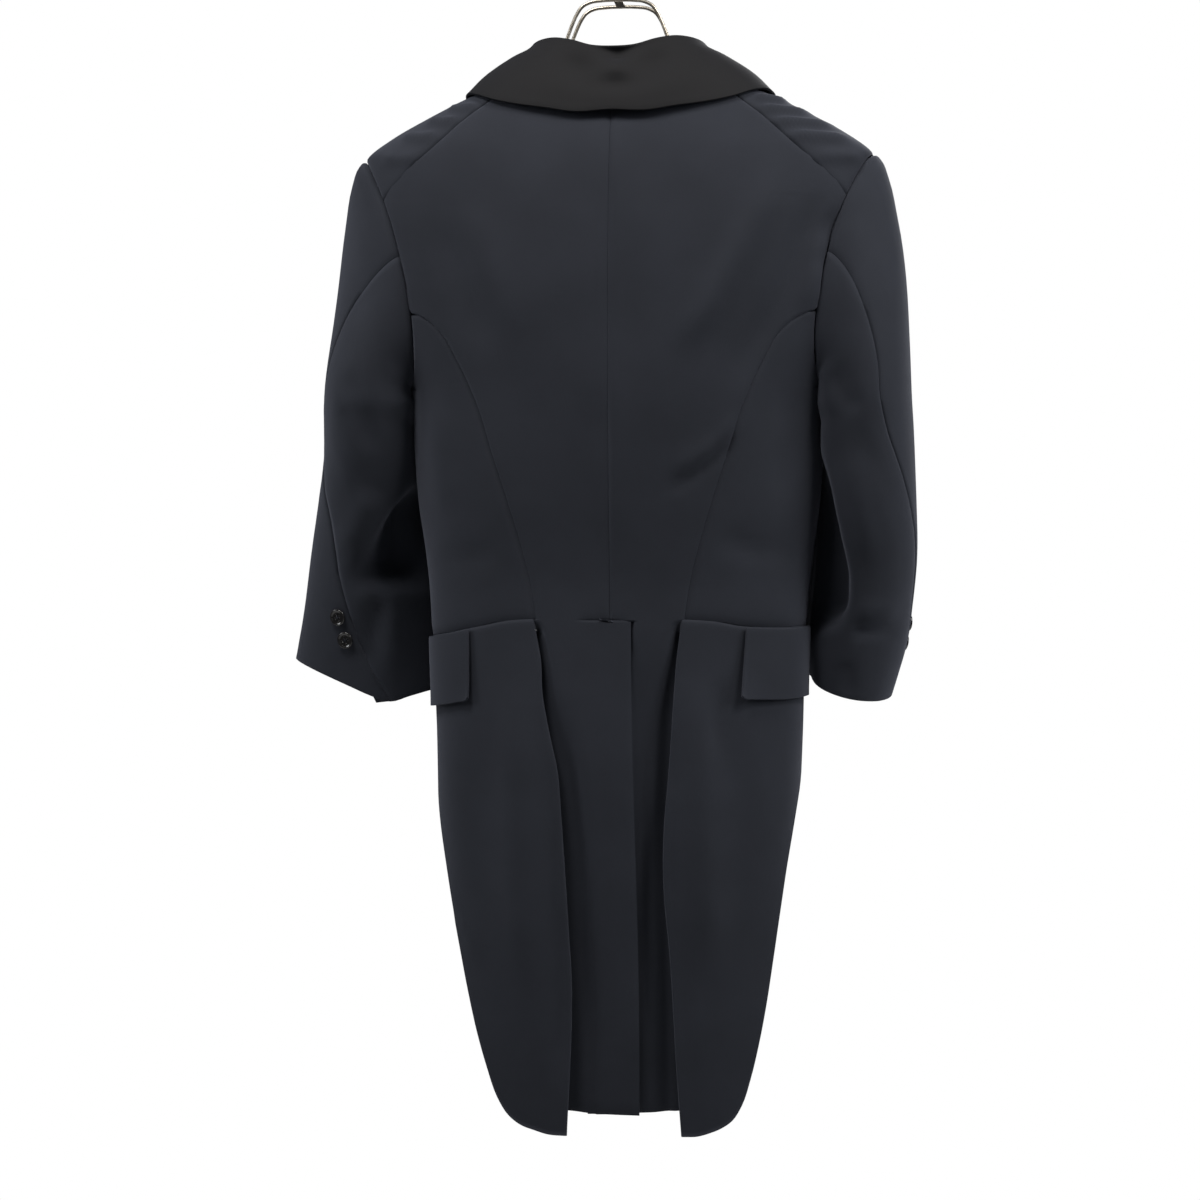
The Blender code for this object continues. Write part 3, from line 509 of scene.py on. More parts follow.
def refine(grid, down, across):
    """Smooth grid with down times as many rows and across times as many columns."""
    points = np.array(grid, float)
    for axis, times in ((0, down), (1, across)):
        points = np.moveaxis(points, axis, 0)
        count = points.shape[0]
        if times > 1:
            at = np.linspace(0.0, count - 1.0, (count - 1) * times + 1)
            low = np.clip(at.astype(int), 0, count - 2)
            t = (at - low).reshape(-1, *([1] * (points.ndim - 1)))
            before = points[np.maximum(low - 1, 0)]
            start = points[low]
            end = points[low + 1]
            after = points[np.minimum(low + 2, count - 1)]
            before = np.where((low == 0).reshape(t.shape), 2.0 * start - end, before)
            after = np.where((low == count - 2).reshape(t.shape), 2.0 * end - start, after)
            moves = [start - before, end - start, after - end]
            spans = [np.maximum(np.linalg.norm(move, axis=-1, keepdims=True), 1e-6) for move in moves]
            rates = [move / span for move, span in zip(moves, spans)]
            leave = (rates[0] + rates[1] - (end - before) / (spans[0] + spans[1])) * spans[1]
            arrive = (rates[1] + rates[2] - (after - start) / (spans[1] + spans[2])) * spans[1]
            points = (start * (2 * t ** 3 - 3 * t ** 2 + 1) + leave * (t ** 3 - 2 * t ** 2 + t)
                      + end * (3 * t ** 2 - 2 * t ** 3) + arrive * (t ** 3 - t ** 2))
        points = np.moveaxis(points, 0, axis)
    return points


def from_line(points, line):
    """Distance in x and z to a line of points, and the share along it."""
    best = np.full(points.shape[:-1], 1e9)
    share = np.zeros(points.shape[:-1])
    count = len(line) - 1
    flat = points[..., (0, 2)]
    for i in range(count):
        a = np.array(line[i])
        b = np.array(line[i + 1])
        along = np.clip(((flat - a) @ (b - a)) / float((b - a) @ (b - a)), 0.0, 1.0)
        gap = np.linalg.norm(flat - (a + along[..., None] * (b - a)), axis=-1)
        nearer = gap < best
        best = np.where(nearer, gap, best)
        share = np.where(nearer, (i + along) / count, share)
    return best, share


def fold_lift(points, folds):
    """Sum of soft ridges and troughs that fade at both ends of their lines."""
    lift = np.zeros(points.shape[:-1])
    for height, wide, line in folds:
        gap, share = from_line(points, line)
        fade = ease(share, -0.02, 0.3) * ease(1.0 - share, -0.02, 0.3)
        lift += height * np.exp(-(gap / wide) ** 2) * fade
    return lift


def ripple(points, size, seed):
    """Slow uneven swell of about -1 to 1, the same wherever pieces meet."""
    x, y, z = [points[..., i] / size for i in range(3)]
    swell = np.sin(x * 1.9 + seed) * np.sin(z * 1.3 - seed * 1.7 + 0.8 * np.sin(x + seed))
    swell += 0.6 * np.sin(z * 2.3 + y * 1.4 + seed * 2.1) * np.sin(x * 1.1 - y + seed)
    return swell / 1.6


def edge_dip(points, sides="lrtb"):
    """How far the borders of a panel turn down into their seams."""
    left = walked(points, 1)
    top = walked(points, 0)
    gaps = {"l": left, "r": left[:, -1:] - left, "t": top, "b": top[-1:, :] - top}
    nearest = np.min([gaps[key] for key in sides], axis=0)
    return -SEAM_DEPTH * np.exp(-(nearest / SEAM_WIDTH) ** 2)


def pull_back(points, amount, sides="lrtb"):
    """Draws the borders of a panel in from their seams."""
    points = np.array(points, float)
    borders = {"l": (1, 0, 1), "r": (1, -1, -2), "t": (0, 0, 1), "b": (0, -1, -2)}
    for key in sides:
        axis, edge, inside = borders[key]
        lines = np.moveaxis(points, axis, 0)
        lines[edge] += unit(lines[inside] - lines[edge]) * amount
    return points


def grid_ways(points, closed=False):
    """Directions square to a grid of points; closed joins its last column to its first."""
    if closed:
        along = np.roll(points, -1, axis=1) - np.roll(points, 1, axis=1)
    else:
        along = np.gradient(points, axis=1)
    return unit(np.cross(along, np.gradient(points, axis=0)))


def tuck(points, ways, border, reach):
    """Adds the seam cloth past one border of a panel, stepped down so that it lies under its neighbour."""
    axis = 1 if border in "lr" else 0
    order = -1 if border in "lt" else 1
    points = np.moveaxis(points, axis, 0)[::order]
    ways = np.moveaxis(ways, axis, 0)[::order]
    along = unit(points[-1] - points[-2])
    steps = ((0.9, 0.62), (2.0, 1.0), (reach, 1.0))
    more = [points[-1] + along * far - ways[-1] * TUCK_DROP * down for far, down in steps]
    points = np.concatenate([points, np.stack(more)])[::order]
    ways = np.concatenate([ways, np.stack([ways[-1]] * len(steps))])[::order]
    return np.moveaxis(points, 0, axis), np.moveaxis(ways, 0, axis)


def cloth(name, outer, ways, material, thick=CLOTH, tucks="", tucked=TUCK_REACH):
    """Thin shell of cloth whose visible side is the grid outer, facing ways."""
    for border in tucks:
        outer, ways = tuck(outer, ways, border, tucked)
    rows, columns = outer.shape[:2]
    mesh = bmesh.new()
    bmesh.ops.create_grid(mesh, x_segments=columns - 1, y_segments=rows - 1, size=1.0)
    reach = walked(outer, 1)
    reach = reach - reach[:, columns // 2:columns // 2 + 1]
    uv = mesh.loops.layers.uv.new("cloth")
    at = mesh.verts.layers.int.new("at")
    for vertex in mesh.verts:
        column = int(round((vertex.co.x + 1.0) * 0.5 * (columns - 1)))
        row = int(round((1.0 - vertex.co.y) * 0.5 * (rows - 1)))
        vertex[at] = row * columns + column
        vertex.co = Vector(outer[row, column] * MM)
    for face in mesh.faces:
        for loop in face.loops:
            place = divmod(loop.vert[at], columns)
            loop[uv].uv = (reach[place] * MM, outer[place][2] * MM)
    lining = bmesh.ops.extrude_face_region(mesh, geom=mesh.faces[:], use_keep_orig=True)
    for part in lining["geom"]:
        if isinstance(part, bmesh.types.BMVert):
            place = divmod(part[at], columns)
            part.co = Vector((outer[place] - ways[place] * thick) * MM)
    bmesh.ops.recalc_face_normals(mesh, faces=mesh.faces[:])
    rim = [edge for edge in mesh.edges if edge.calc_face_angle(0.0) > 1.35]
    bmesh.ops.bevel(mesh, geom=rim, offset=EDGE_ROUND * MM, segments=2, profile=0.5, affect="EDGES",
                    material=-1, clamp_overlap=True)
    return finished("cloth_" + name, mesh, material, name)


def finished(name, mesh, material, replaced):
    """Makes the object of a mesh, smooth, with its material and the node it stands for."""
    data = bpy.data.meshes.new(name)
    mesh.to_mesh(data)
    mesh.free()
    for polygon in data.polygons:
        polygon.use_smooth = True
    data.materials.append(material)
    piece = bpy.data.objects.new(name, data)
    bpy.context.scene.collection.objects.link(piece)
    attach(piece, "root")
    if replaced:
        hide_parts(replaced)
    return piece


def lifted(points, out):
    """Points of the torso's form moved out of it, and the directions out of the moved cloth."""
    ways = facing(points)
    outer = points + ways * out[..., None]
    return outer, turned_to(grid_ways(outer), ways)


def torso_cloth(name, grid, material, lift, fine=FINE, tucks=""):
    """Panel on the torso's form, refined, with lift(points) moving it out or in."""
    points = pull_back(onto_form(refine(grid, fine, fine)), SEAM_GAP)
    outer, ways = lifted(points, lift(points) + edge_dip(points))
    return cloth(name, outer, ways, material, tucks=tucks)


def back_recess(side, points):
    """The back sinks under the tails' inner edges; between them it stays nearly level at the waist."""
    x, z = points[..., 0], points[..., 2]
    inward = tail_edge(side, z) - side * x
    reach = blend(9.0, 26.0, ease(-z, 545.0, 660.0))
    under = 9.5 * ease(-z, 540.0, 552.0) + 7.5 * ease(-z, 560.0, 760.0)
    middle = 10.5 * ease(-z, 545.0, 860.0) ** 0.8
    near = 1.0 - ease(inward, 1.0, 1.0 + reach)
    return -blend(np.minimum(middle, under), under, near)


def back_lift(side, points):
    """Folds of the back above the waist and between the tails; the right half sinks under the lap."""
    x, z = points[..., 0], points[..., 2]
    out = fold_lift(points, BACK_FOLDS + YOKE_FOLDS) + 0.7 * ripple(points, 55.0, 1.3)
    low = ease(-z, 544.0, 600.0)
    out = back_recess(side, points) + out * (1.0 - low) + fold_lift(points, CENTRE_FOLDS) * low
    if side > 0:
        # the lap of the left half lies over this one
        covered = ease(20.5 + 7.5 * ease(-z, 542.5, 900.0) - x, -1.5, 0.5)
        out -= 3.0 * ease(-z, 540.9, 542.4) * covered
        out -= 5.0 * ease(-z, 545.0, 640.0) * ease(x, 12.0, 24.0) * ease(50.0 - x, -10.0, 0.0)
        out -= 3.0 * ease(-z, 545.0, 620.0) * (1.0 - covered)
    return out


def back_rows(side):
    """Rows across one half of the back, from the neck to the hem of its panel between the tails."""
    shares = [i / 8.0 for i in range(9)]
    rows = []
    # height at the middle of the back, distance out at the shoulder seam
    tops = [(-73.0, 72.0), (-84.0, 84.0), (-98.0, 103.0), (-118.0, 127.0), (-146.0, 158.0), (-176.0, 201.3)]
    for middle, edge_x in tops:
        edge_z = float(curve(SHOULDER_SEAM, edge_x))
        rows.append([on_back(side, edge_x * share, blend(middle, edge_z, share ** 1.6)) for share in shares])
    for z in (-183.0, -202.0, -226.0, -250.0):
        rows.append(level_row(side, z, 0.0, angle_at(curve(ARMHOLE, z), z), shares))
    for z in [row[0] for row in SIDE_BACK_SEAM[:-1]] + [VENT_TOP + 0.8, VENT_TOP]:
        rows.append(level_row(side, z, 0.0, angle_at(curve(SIDE_BACK_SEAM, z), z), shares))
    for z in (-541.0, -542.5, -546.0, -552.0, -575.0, -620.0, -670.0, -720.0, -780.0, -840.0, -900.0,
              BACK_HEM):
        edge = float(tail_edge(side, z) + 31.0 * ease(-z, 546.0, 600.0))
        if side < 0:
            start = float(-18.5 * ease(-z, 540.4, 541.6) - 7.5 * ease(-z, 542.5, 900.0))
        else:
            start = float(-12.0 * ease(-z, 540.0, 600.0))
        row = []
        for share in shares:
            x = abs(by_angle(side, angle_at(edge, z) * share, z)[0]) + start * (1.0 - share) ** 3
            hem = z - (4.0 * (1.0 - share) if z == BACK_HEM else 0.0)
            row.append(on_back(side, x, hem))
        rows.append(row)
    return rows


def side_rows(side):
    """Rows across the side body, from its seam with the back to the side."""
    shares = [i / 6.0 for i in range(7)]
    rows = []
    lower = [row[0] for row in SIDE_BACK_SEAM if row[0] < ARMHOLE_BOTTOM]
    armhole = [z for z, _ in ARMHOLE if z <= -298.0]
    heights = sorted(set([-278.0, -287.0] + armhole + lower), reverse=True)
    for z in heights[:-1]:
        near = angle_at(curve(SIDE_BACK_SEAM, z), z)
        far = angle_at(curve(ARMHOLE, z), z) if z > ARMHOLE_BOTTOM else 90.0
        rows.append(level_row(side, z, near, far, shares))
    start = angle_at(SIDE_BACK_SEAM[-1][1], SIDE_BACK_SEAM[-1][0])
    angles = [blend(start, 90.0, share) for share in shares]
    rows.append([by_angle(side, angle, waist_height(side, angle)) for angle in angles])
    return rows


def shoulder_row(side, near_x, near_q, far_x, far_q, shares, seam=0.0):
    """Row of points over the shoulder; seam is how far it follows the curve of the shoulder seam."""
    seam_ends = [q_at(x, z, False) for x, z in (SHOULDER_SEAM[0], SHOULDER_SEAM[-1])]
    row = []
    for share in shares:
        seam_x = blend(SHOULDER_SEAM[0][0], SHOULDER_SEAM[-1][0], share)
        bend = q_at(seam_x, float(curve(SHOULDER_SEAM, seam_x)), False) - blend(*seam_ends, share)
        q = blend(near_q, far_q, share) + bend * seam
        row.append(over_shoulder(side, blend(near_x, far_x, share), q))
    return row


def front_rows(side):
    """Rows across one front, from the shoulder seam behind the shoulder line to the waist."""
    shares = [i / 9.0 for i in range(10)]
    rows = []
    levels = [row for row in ARMHOLE if row[0] >= SHOULDER_SEAM_END][::-1]
    # how far each row follows the shoulder seam's curve
    pulls = [1.0, 0.65, 0.35, 0.12, 0.0]
    for (z, x), neck_z, pull in zip(levels, [-66.0, -64.5, -63.2, -62.4, -62.0], pulls):
        near = q_at(NECK_X, neck_z, False)
        rows.append(shoulder_row(side, NECK_X, near, x, q_at(x, z, False), shares, pull))
    levels = [row for row in ARMHOLE if SHOULDER_SEAM_END <= row[0] < SHOULDER_TIP]
    for (z, x), (near_z, near_x) in zip(levels, [(-63.0, 72.0), (-66.0, 72.0), (-76.0, 71.4), (-96.0, 69.4)]):
        near = q_at(near_x, near_z, True)
        rows.append(shoulder_row(side, near_x, near, x, q_at(x, z, True), shares))
    upper = [row[0] for row in ARMHOLE if row[0] < SHOULDER_SEAM_END]
    # heights on the front's opening, one for each point of the armhole below the shoulder seam
    spread = [-122.0, -148.0, -175.0, -201.0, -227.0, -252.0, -275.0, -294.0, -309.0, -322.0, -332.0, -340.0]
    for z, opening_z in zip(upper, spread):
        near = 180.0 - angle_at(curve(ROLL_LINE, opening_z), opening_z)
        far = 180.0 - angle_at(curve(ARMHOLE, z), z)
        rows.append([by_angle(side, blend(near, far, s), blend(opening_z, z, s)) for s in shares])
    for z in (-365.0, -395.0, -425.0, -455.0, -485.0, -515.0, WAIST_Z):
        near_x = float(curve(ROLL_LINE, z))
        near = 180.0 - math.copysign(angle_at(near_x, z), near_x)
        row = []
        for share in shares:
            angle = blend(near, 90.0, share)
            level = waist_height(side, min(angle, 180.0)) if z == WAIST_Z else z
            row.append(by_angle(side, angle, level))
        rows.append(row)
    return rows


def side_lift(points):
    """The back's folds where they run on over the side body, and a slow swell."""
    folds = fold_lift(points, BACK_FOLDS) * ease(-facing(points)[..., 1], 0.0, 0.5)
    return folds + 0.7 * ripple(points, 55.0, 1.3)


def front_lift(side, points):
    """Puckers behind the shoulder line and a slow swell; the right front sinks under the left."""
    x, y, z = points[..., 0], points[..., 1], points[..., 2]
    out = fold_lift(points, YOKE_FOLDS) * ease(-y, -4.0, 14.0)
    out += 0.8 * ripple(points, 60.0, 2.2) * ease(-z, 150.0, 220.0)
    if side > 0:
        out -= 3.0 * ease(-z, 395.0, 425.0) * ease(-x, -45.0, -16.0)
    return out


def tail_rows(side):
    """Rows of the tail's outer cloth, from the waist to the cutaway."""
    downs = [0.0, 0.03, 0.08, 0.14, 0.22, 0.3, 0.38, 0.46, 0.54, 0.62, 0.7, 0.78, 0.86, 0.92, 0.96, 1.0]
    shares = [0.0, 0.03, 0.06, 0.09, 0.12, 0.15, 0.18, 0.21, 0.24, 0.27, 0.31, 0.36, 0.42, 0.49, 0.57, 0.67,
              0.78, 0.89, 1.0]
    top_angle = angle_at(tail_edge(side, -541.0), -541.0)
    rows = []
    for down in downs:
        row = []
        for share in shares:
            angle_down = blend(top_angle, 176.0, share)
            cut = float(curve(CUTAWAY, max(angle_down, 22.0)))
            z = blend(waist_height(side, angle_down), cut, down)
            near = angle_at(tail_edge(side, z), z)
            shift = (near - top_angle) * (176.0 - angle_down) / (176.0 - top_angle)
            angle = angle_down + shift * float(ease(down, 0.0, 0.05))
            row.append(by_angle(side, angle, z))
        rows.append(row)
    return rows


def tail_cloth(side, material):
    """Tail with its folded inner edge: the cloth turns under and comes back behind itself."""
    points = pull_back(onto_form(refine(tail_rows(side), FINE, FINE)), 0.25, "t")
    below = -points[..., 2]
    out = 0.4 + fold_lift(points, TAIL_FOLDS) * ease(below, 560.0, 620.0)
    out += 0.9 * ripple(points, 70.0, 3.1) * ease(below, 560.0, 640.0)
    outer, ways = lifted(points, out + edge_dip(points, "t"))
    edge = outer[:, 0]
    along = unit(outer[:, 1] - edge)
    back = ways[:, 0]
    gone = walked(outer, 1)
    columns = []
    for reach in UNDERLAY:
        spot = [[np.interp(reach, far, row[:, i]) for i in range(3)] for far, row in zip(gone, outer)]
        spot = np.array(spot)
        spot -= back * (2.0 * FOLD_RADIUS + 0.5)
        spot[..., 2] += (0.1 * reach + 2.0) * ease(-edge[..., 2], 860.0, 980.0)
        columns.append((spot, -back))
    for turn in range(180, 0, -30):
        c, s = math.cos(math.radians(turn)), math.sin(math.radians(turn))
        spot = edge - back * FOLD_RADIUS * (1.0 - c) - along * FOLD_RADIUS * s
        columns.append((spot, back * c - along * s))
    under, under_ways = [np.stack(part, axis=1) for part in zip(*columns)]
    outer = np.concatenate([under, outer], axis=1)
    ways = np.concatenate([under_ways, ways], axis=1)
    return cloth(sided("skirt", side), outer, ways, material, tucks="t")


def flap_cloth(side, material):
    """Pocket flap over the top of the tail, standing off at its lower inner corner."""
    start, lean, stand, begin, growth = FLAP_LEFT if side < 0 else FLAP_RIGHT
    drops = [0.9, 4.0, 12.0, 21.0, 30.0, 39.0, 48.0, 55.0, 59.0, 62.0]
    shares = [0.0, 0.02, 0.08, 0.16, 0.24, 0.32, 0.41, 0.5, 0.59, 0.68, 0.76, 0.84, 0.92, 0.98, 1.0]
    rows = []
    for drop in drops:
        row = []
        for share in shares:
            angle = blend(start - lean * drop, 116.0, share)
            corner = max(drop - 55.0, 0.0) * 0.3 * float(ease(abs(share - 0.5), 0.485, 0.5))
            row.append(by_angle(side, angle, waist_height(side, angle) - drop + corner))
        rows.append(row)
    points = onto_form(refine(rows, FINE, FINE))
    drop = np.linspace(0.0, 1.0, points.shape[0])[:, None]
    share = np.linspace(0.0, 1.0, points.shape[1])[None, :]
    out = 1.2 + CLOTH + 2.0 * np.sqrt(drop) + stand * ease(1.0 - share, begin, 1.0) * drop ** growth
    outer, ways = lifted(points, out + 0.5 * np.sin(share * 9.0 + 1.0) * drop)
    return cloth(sided("flap", side), outer, ways, material)


def armhole_loop(side):
    """Points round the armhole, from its bottom up the back and down the front."""
    back = [by_angle(side, angle_at(x, z), z) for z, x in ARMHOLE[::-1]]
    front = [by_angle(side, 180.0 - angle_at(x, z), z) for z, x in ARMHOLE[1:-1]]
    return back + front


def sleeve_section(side, angle, down):
    """Point on the sleeve: angle 0 on the outer side, 90 at the back; down goes from 0 to 1 at the cuff."""
    rows = SLEEVE_LEFT if side < 0 else SLEEVE_RIGHT
    c = math.cos(math.radians(angle))
    s = math.sin(math.radians(angle))
    # the left cuff's edge dips to its back corner, the right one slants evenly
    if side < 0:
        across = 228.8 + 68.8 * c
        back_cuff = -615.0 + max(0.43 * (across - 207.5), 0.3 * (207.5 - across))
        cuff = blend(-588.5 + 12.5 * c, back_cuff, float(ease(s, 0.0, 0.4)))
    else:
        cuff = -599.0 - 7.0 * c - 11.0 * s
    level = blend(SLEEVE_TOP, SLEEVE_END, down)
    z = level + (cuff - SLEEVE_END) * float(ease(down, 0.2, 1.0))
    out = float(curve(rows, level, 1) + curve(rows, level, 2) * c)
    out -= float(curve(rows, level, 5)) * (2.0 * max(s, 0.0) * max(-c, 0.0)) ** 1.5
    out -= float(curve(rows, level, 6)) * (2.0 * max(-s, 0.0) * max(-c, 0.0)) ** 1.5
    y = float(curve(rows, level, 4) - curve(rows, level, 3) * s)
    return np.array([side * out, y, z])


def sleeve_ring(side):
    """Rows of points round the whole sleeve, from the elbow seam forward, and the columns of its seams."""
    loop = armhole_loop(side)
    count = len(loop)
    top = len(ARMHOLE) - 1
    elbow = top - ELBOW_START
    front = top + FRONT_SEAM_START
    seam = ELBOW_SEAM_LEFT if side < 0 else ELBOW_SEAM_RIGHT
    pieces = []
    for order in (list(range(elbow, front + 1)), list(range(front, count)) + list(range(0, elbow + 1))):
        points = [loop[i] for i in order]
        lengths = walked(np.array([points]), 1)[0]
        pieces.append((points, list(lengths / lengths[-1])))
    middle = np.mean(loop, axis=0)

    def angle(piece, share, down):
        elbow_angle = float(curve(seam, down))
        if piece == 0:
            return blend(elbow_angle, FRONT_SEAM_ANGLE, share)
        return blend(FRONT_SEAM_ANGLE + 360.0, elbow_angle, share)

    rows = []
    for t in (0.0, 0.04, 0.1, 0.24, 0.42, 0.62, 0.82):
        row = []
        for piece, (points, shares) in enumerate(pieces):
            for start, share in list(zip(points, shares))[:-1]:
                end = sleeve_section(side, angle(piece, share, 0.0), 0.0)
                leave = unit(np.array([side * 0.78, 0.0, -0.35]) + unit(start - middle) * 0.28)
                first = start + leave * 0.35
                reach = float(np.linalg.norm(end - start))
                a = first + leave * min(20.0, 0.35 * reach)
                b = end + np.array([0.0, 0.0, min(88.0, 0.42 * reach)])
                u = 1.0 - t
                row.append(first * u ** 3 + a * 3 * u * u * t + b * 3 * u * t * t + end * t ** 3)
        rows.append(row)
    for down in (0.0, 0.06, 0.12, 0.19, 0.26, 0.33, 0.4, 0.47, 0.55, 0.62, 0.7, 0.78, 0.85, 0.92, 1.0):
        row = []
        for piece, (points, shares) in enumerate(pieces):
            for share in shares[:-1]:
                row.append(sleeve_section(side, angle(piece, share, down), down))
        rows.append(row)
    return rows, len(pieces[0][0]) - 1


def sleeve_hollow(side, points):
    """The deep recess at the elbow, where the cloth of the back of the sleeve folds in toward the body."""
    x, z = points[..., 0], points[..., 2]
    if side > 0:
        inward = ease(curve(HOLLOW_RIGHT, z) - x, -5.0, 22.0)
        return -26.0 * inward * ease(-z, 372.0, 430.0) * ease(z + 556.0, 0.0, 30.0)
    # distances past the upper and the lower slanting edge of the left sleeve's hollow
    below = (-z - 441.0) * 0.617 + (x + 193.0) * 0.787
    above = (z + 512.0) * 0.996 - (x + 175.0) * 0.087
    toward = ease(x, -252.0, -190.0)
    return -24.0 * ease(below, -4.0, 16.0) * ease(above, -6.0, 20.0) * toward


def sleeve_cloths(side, material):
    """Top sleeve and under sleeve, cut out of one ring of points round the arm."""
    rows, split = sleeve_ring(side)
    count = len(rows[0])
    closed = [row[-3:] + row + row[:4] for row in rows]
    ring = refine(closed, FINE, FINE)[:, 3 * FINE:(3 + count) * FINE]
    centre = np.array([side * SLEEVE_MIDDLE[0], SLEEVE_MIDDLE[1], 0.0])
    level = np.array([1.0, 1.0, 0.0])
    ways = turned_to(grid_ways(ring, closed=True), (ring - centre) * level, 60)
    x, y, z = ring[..., 0] * side, ring[..., 1], ring[..., 2]
    under = ease(-z, 316.0, 332.0) * ease(z + 372.0, 0.0, 20.0) * ease(200.0 - x, 0.0, 10.0)
    ring[..., 0] -= side * 4.0 * under * ease(-y, 8.0, 28.0)
    out = (fold_lift(ring, SLEEVE_FOLDS) + sleeve_hollow(side, ring)) * ease(-ring[..., 1], -20.0, 12.0)
    out += ripple(ring, 45.0, 4.0 + side)
    out = out * ease(np.linspace(0.0, 1.0, ring.shape[0]), 0.03, 0.2)[:, None]
    # beside the body the cloth moves in freely and out by 0.8 mm at most
    out = np.where(ring[..., 0] * side < 196.0, np.minimum(out, 0.8), out)
    ring = ring + ways * out[..., None]
    ways = turned_to(grid_ways(ring, closed=True), (ring - centre) * level, 60)
    made = []
    for name, first, last, tucks in (("sleeve_top", 0, split, "t"), ("sleeve_under", split, count, "tlr")):
        columns = [c % (count * FINE) for c in range(first * FINE, last * FINE + 1)]
        outer = ring[:, columns]
        fine = ways[:, columns]
        outer = pull_back(outer, SEAM_GAP, "lr") + fine * edge_dip(outer, "lrt")[..., None]
        made.append(cloth(sided(name, side), outer, fine, material, tucks=tucks,
                          tucked=SLEEVE_TUCK))
    return made


def collar_section(station, side):
    """Visible points of the collar across its fold, from the neck seam to the outer edge."""
    rows = [(float(i),) + row for i, row in enumerate(COLLAR)]
    fold = np.array([float(curve(rows, station, i)) for i in (1, 2, 3)])
    edge = over_shoulder(1.0, float(curve(rows, station, 4)), float(curve(rows, station, 5)))
    edge = edge + facing(edge) * blend(5.0, 9.0, float(ease(3.6 - station, 0.0, 2.6)))
    necks = []
    for x, z, front in COLLAR_NECK:
        y = math.copysign(float(half_depth(x, z, front == 1)), front - 0.5)
        necks.append((float(len(necks)), x, y, z))
    neck = np.array([float(curve(necks, station, i)) for i in (1, 2, 3)])
    out = edge - fold
    out[2] = 0.0
    out = unit(out)
    up = np.array([0.0, 0.0, 1.0])
    rise = unit(fold - neck, 4.0)
    start = neck + rise * 0.6 + facing(neck) * 0.45 - out * 2.2
    inside = fold - out * 3.3 - up * 2.6
    outside = fold + out * 3.1 - up * 2.2
    sag = up * 3.4 + out * 1.2
    points = [
        start,
        blend(start, inside, 0.5),
        inside,
        fold - out * 2.1 - up * 0.6,
        fold,
        fold + out * 1.9 - up * 0.5,
        outside,
        blend(outside, edge, 0.3) + sag * 0.8,
        blend(outside, edge, 0.65) + sag,
        edge,
    ]
    return [np.array([side * p[0], p[1], p[2]]) for p in points]


def collar_ways(points):
    """Directions out of the collar, which look up at its fold."""
    up = np.array([0.0, 0.0, 1.0])
    return turned_to(grid_ways(points), up, (points.shape[0] // 2, 40))


def collar_cloth(material):
    """Collar from one lapel's seam round the neck to the other, with the pinch at its middle."""
    stations = [7.0, 6.2, 5.5, 4.8, 4.1, 3.4, 2.6, 1.8, 0.9]
    grid = [collar_section(s, -1.0) for s in stations]
    grid.append(collar_section(0.0, 1.0))
    grid += [collar_section(s, 1.0) for s in stations[::-1]]
    points = refine(grid, 6, 5)
    width = np.linspace(0.0, 1.0, points.shape[1])[None, :]
    x = points[..., 0]
    out = ripple(points, 34.0, 0.6) * ease(width, 0.5, 0.75) - 0.9 * np.exp(-((1.0 - width) * 20.0) ** 2)
    for middle, wide, place, band, height in COLLAR_PINCH:
        out = out + height * np.exp(-((x - middle) / wide) ** 2 - ((width - place) / band) ** 2)
    points = points + collar_ways(points) * out[..., None]
    return cloth("collar", points, collar_ways(points), material, thick=COLLAR_CLOTH)


def lapel_cloth(side, material):
    """Lapel on the front's roll line, sewn to the end of the collar at its top."""
    shares = [0.0, 0.1, 0.3, 0.55, 0.8, 1.0]
    seam = collar_section(7.0, 1.0)
    before = collar_section(6.6, 1.0)
    start = []
    for share in shares:
        at = 4.0 + 5.0 * share
        low = min(int(at), 8)
        point = blend(seam[low], seam[low + 1], at - low)
        start.append(point + unit(point - blend(before[low], before[low + 1], at - low)) * 0.9)
    grid = [start]
    for z, near_x, far_x, roll in LAPEL:
        row = []
        for share in shares:
            x = blend(near_x, far_x, share)
            level = z - 22.0 * share * float(ease(z, -200.0, -92.0))
            point = np.array([x, float(half_depth(x, level, True)), level])
            out = 0.9 + CLOTH + 1.4 * math.sin(math.pi * share) + roll * (1.0 - share) ** 1.5
            row.append(point + facing(point) * out)
        grid.append(row)
    points = refine(grid, 5, 6) * np.array([side, 1.0, 1.0])
    ways = turned_to(grid_ways(points), np.array([0.0, 1.0, 0.0]), (30, 15))
    return cloth(sided("lapel", side), points, ways, material, tucks="t")


def wrapped(mesh, rows, columns, place):
    """Grid moved to place(u, v), u and v from 0 to 1, then closed where its borders meet."""
    corners = bmesh.ops.create_grid(mesh, x_segments=columns, y_segments=rows, size=1.0)["verts"]
    for vertex in corners:
        vertex.co = Vector(place((vertex.co.x + 1.0) * 0.5, (1.0 - vertex.co.y) * 0.5) * MM)
    bmesh.ops.remove_doubles(mesh, verts=corners, dist=0.002 * MM)
    bmesh.ops.recalc_face_normals(mesh, faces=mesh.faces[:])


